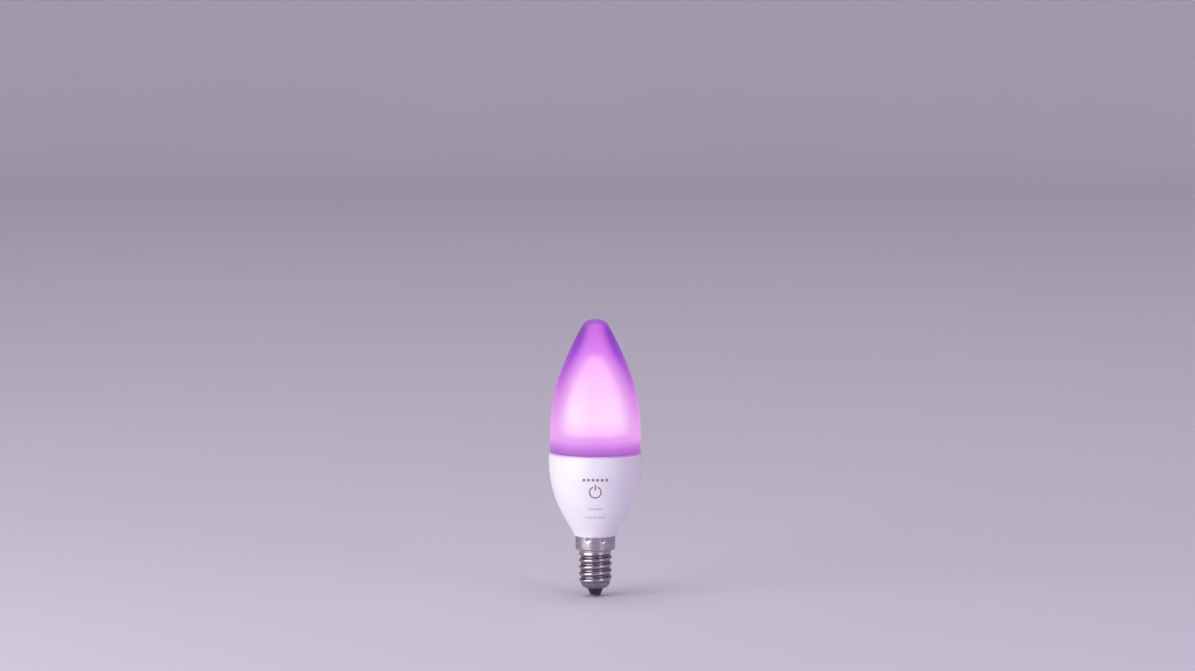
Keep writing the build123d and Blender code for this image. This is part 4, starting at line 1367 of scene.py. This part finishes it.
@dataclass(frozen=True)
class SoftBox:
    """A soft light.

    Its azimuth is in degrees, 0 at the front and 90 on the right, and its elevation in degrees over the
    horizon. Its reach is its distance from the lamp, its size is width and height, and its power is in watts.
    """

    name: str
    azimuth: float
    elevation: float
    reach: float
    size: tuple[float, float]
    power: float
    colour: Colour


@dataclass
class Studio:
    """The pale sweep that the lamp stands on, its soft lights and the camera."""

    boxes: tuple[SoftBox, ...] = (
        SoftBox("left_box", -54.0, 9.5, 1.3, (1.3, 0.5), 14.0, (1.0, 0.99, 1.0)),
        SoftBox("right_panel", 40.0, 9.5, 1.3, (0.42, 0.45), 4.0, (0.80, 0.62, 1.0)),
        SoftBox("top_panel", 0.0, 90.0, 2.9, (4.0, 4.0), 44.0, (1.0, 0.98, 1.0)),
    )
    lit_height: float = 0.06
    surround: Colour = (0.72, 0.56, 0.96)
    surround_strength: float = 0.2
    paper: tuple[Colour, Colour] = ((0.86, 0.83, 0.88), (0.82, 0.79, 0.85))
    near_rings: tuple[float, float, int] = (0.02, 1.0, 24)
    middle_ring: float = 1.1
    far_rings: tuple[float, float, int] = (1.15, 2.0, 40)
    spokes: int = 128
    floor_radius: float = 2.6
    sweep_reach: float = 1.6
    wall_height: float = 2.4
    wall_fade: tuple[float, float] = (-0.8, -0.3)
    aim: tuple[float, float, float] = (0.0009, 0.0, 0.110)
    distance: float = 2.0
    pitch: float = 5.6
    lens: float = 144.0

    def sweep(self) -> None:
        """The floor and the wall behind it as one smooth sheet.

        Over a polar grid of radius and angle the height is the wall's height times the square of how far the
        radius is past the floor's edge, and times a share that is 1 at the back and sides and 0 at the front.
        """
        near, far = np.linspace(*self.near_rings), np.linspace(*self.far_rings)
        share = np.concatenate([near, [self.middle_ring], far])
        radius = share * (self.floor_radius + self.sweep_reach) / self.far_rings[1]
        angle = np.arange(self.spokes) * TURN / self.spokes
        past = np.clip((radius - self.floor_radius) / self.sweep_reach, 0.0, 1.0)[:, None]
        back = smooth_step(*self.wall_fade, np.sin(angle))[None, :]
        height = self.wall_height * past**2 * back
        grid = np.stack([radius[:, None] * np.cos(angle), radius[:, None] * np.sin(angle), height], axis=-1)
        centre = np.zeros((1, self.spokes, 3))
        floor = grid_mesh("studio_sweep", np.concatenate([centre, grid])[::-1], True, False, (False, True))
        bench = Bench("pale_paper")
        paper = bench.noise(3.0, 2.0)
        surface = bench.principled(
            Base_Color=bench.blend(paper, *self.paper),
            Roughness=0.75,
            Normal=bench.bump(bench.noise(1200.0), 0.00003),
        )
        floor.data.materials.append(bench.done(surface))

    def hang(self, box: SoftBox) -> None:
        """Hang one soft box that looks at the lamp.

        Args:
            box: The soft box.
        """
        lamp = bpy.data.lights.new(box.name, "AREA")
        lamp.shape = "RECTANGLE"
        lamp.size, lamp.size_y = box.size
        lamp.energy = box.power
        lamp.color = box.colour
        holder = bpy.data.objects.new(box.name, lamp)
        bpy.context.scene.collection.objects.link(holder)
        side, rise = math.radians(box.azimuth), math.radians(box.elevation)
        away = Vector((math.sin(side) * math.cos(rise), -math.cos(side) * math.cos(rise), math.sin(rise)))
        holder.location = Vector((0.0, 0.0, self.lit_height)) + away * box.reach
        holder.rotation_mode = "QUATERNION"
        holder.rotation_quaternion = away.to_track_quat("Z", "Y")
        holder.visible_camera = False

    def lights(self) -> None:
        """A large box on the left, a small lilac one on the right, a top box and a pale surround."""
        for box in self.boxes:
            self.hang(box)
        world = bpy.data.worlds.new("surround")
        bpy.context.scene.world = world
        world.use_nodes = True
        background = world.node_tree.nodes["Background"]
        background.inputs["Color"].default_value = (*self.surround, 1.0)
        background.inputs["Strength"].default_value = self.surround_strength

    def camera(self) -> None:
        """A long lens in front of the lamp, looking slightly down past it."""
        data = bpy.data.cameras.new("camera")
        data.lens = self.lens
        data.clip_start, data.clip_end = 0.05, 50.0
        camera = bpy.data.objects.new("camera", data)
        bpy.context.scene.collection.objects.link(camera)
        rise = math.radians(self.pitch)
        away = Vector((0.0, -math.cos(rise), math.sin(rise)))
        camera.location = Vector(self.aim) + away * self.distance
        camera.rotation_mode = "QUATERNION"
        camera.rotation_quaternion = away.to_track_quat("Z", "Y")
        bpy.context.scene.camera = camera

    def build(self) -> None:
        """Set up the camera, the sweep and the lights."""
        self.camera()
        self.sweep()
        self.lights()
        bpy.context.scene.view_settings.view_transform = "Standard"


def main() -> None:
    """Build the lamp from its candle to its cap, then the studio."""
    logging.basicConfig(level=logging.INFO)
    Studio().build()
    for assembly in (Candle(), Housing(), ScrewCap(), Interior()):
        assembly.build()
        assembly.report()


if __name__ == "__main__":
    main()
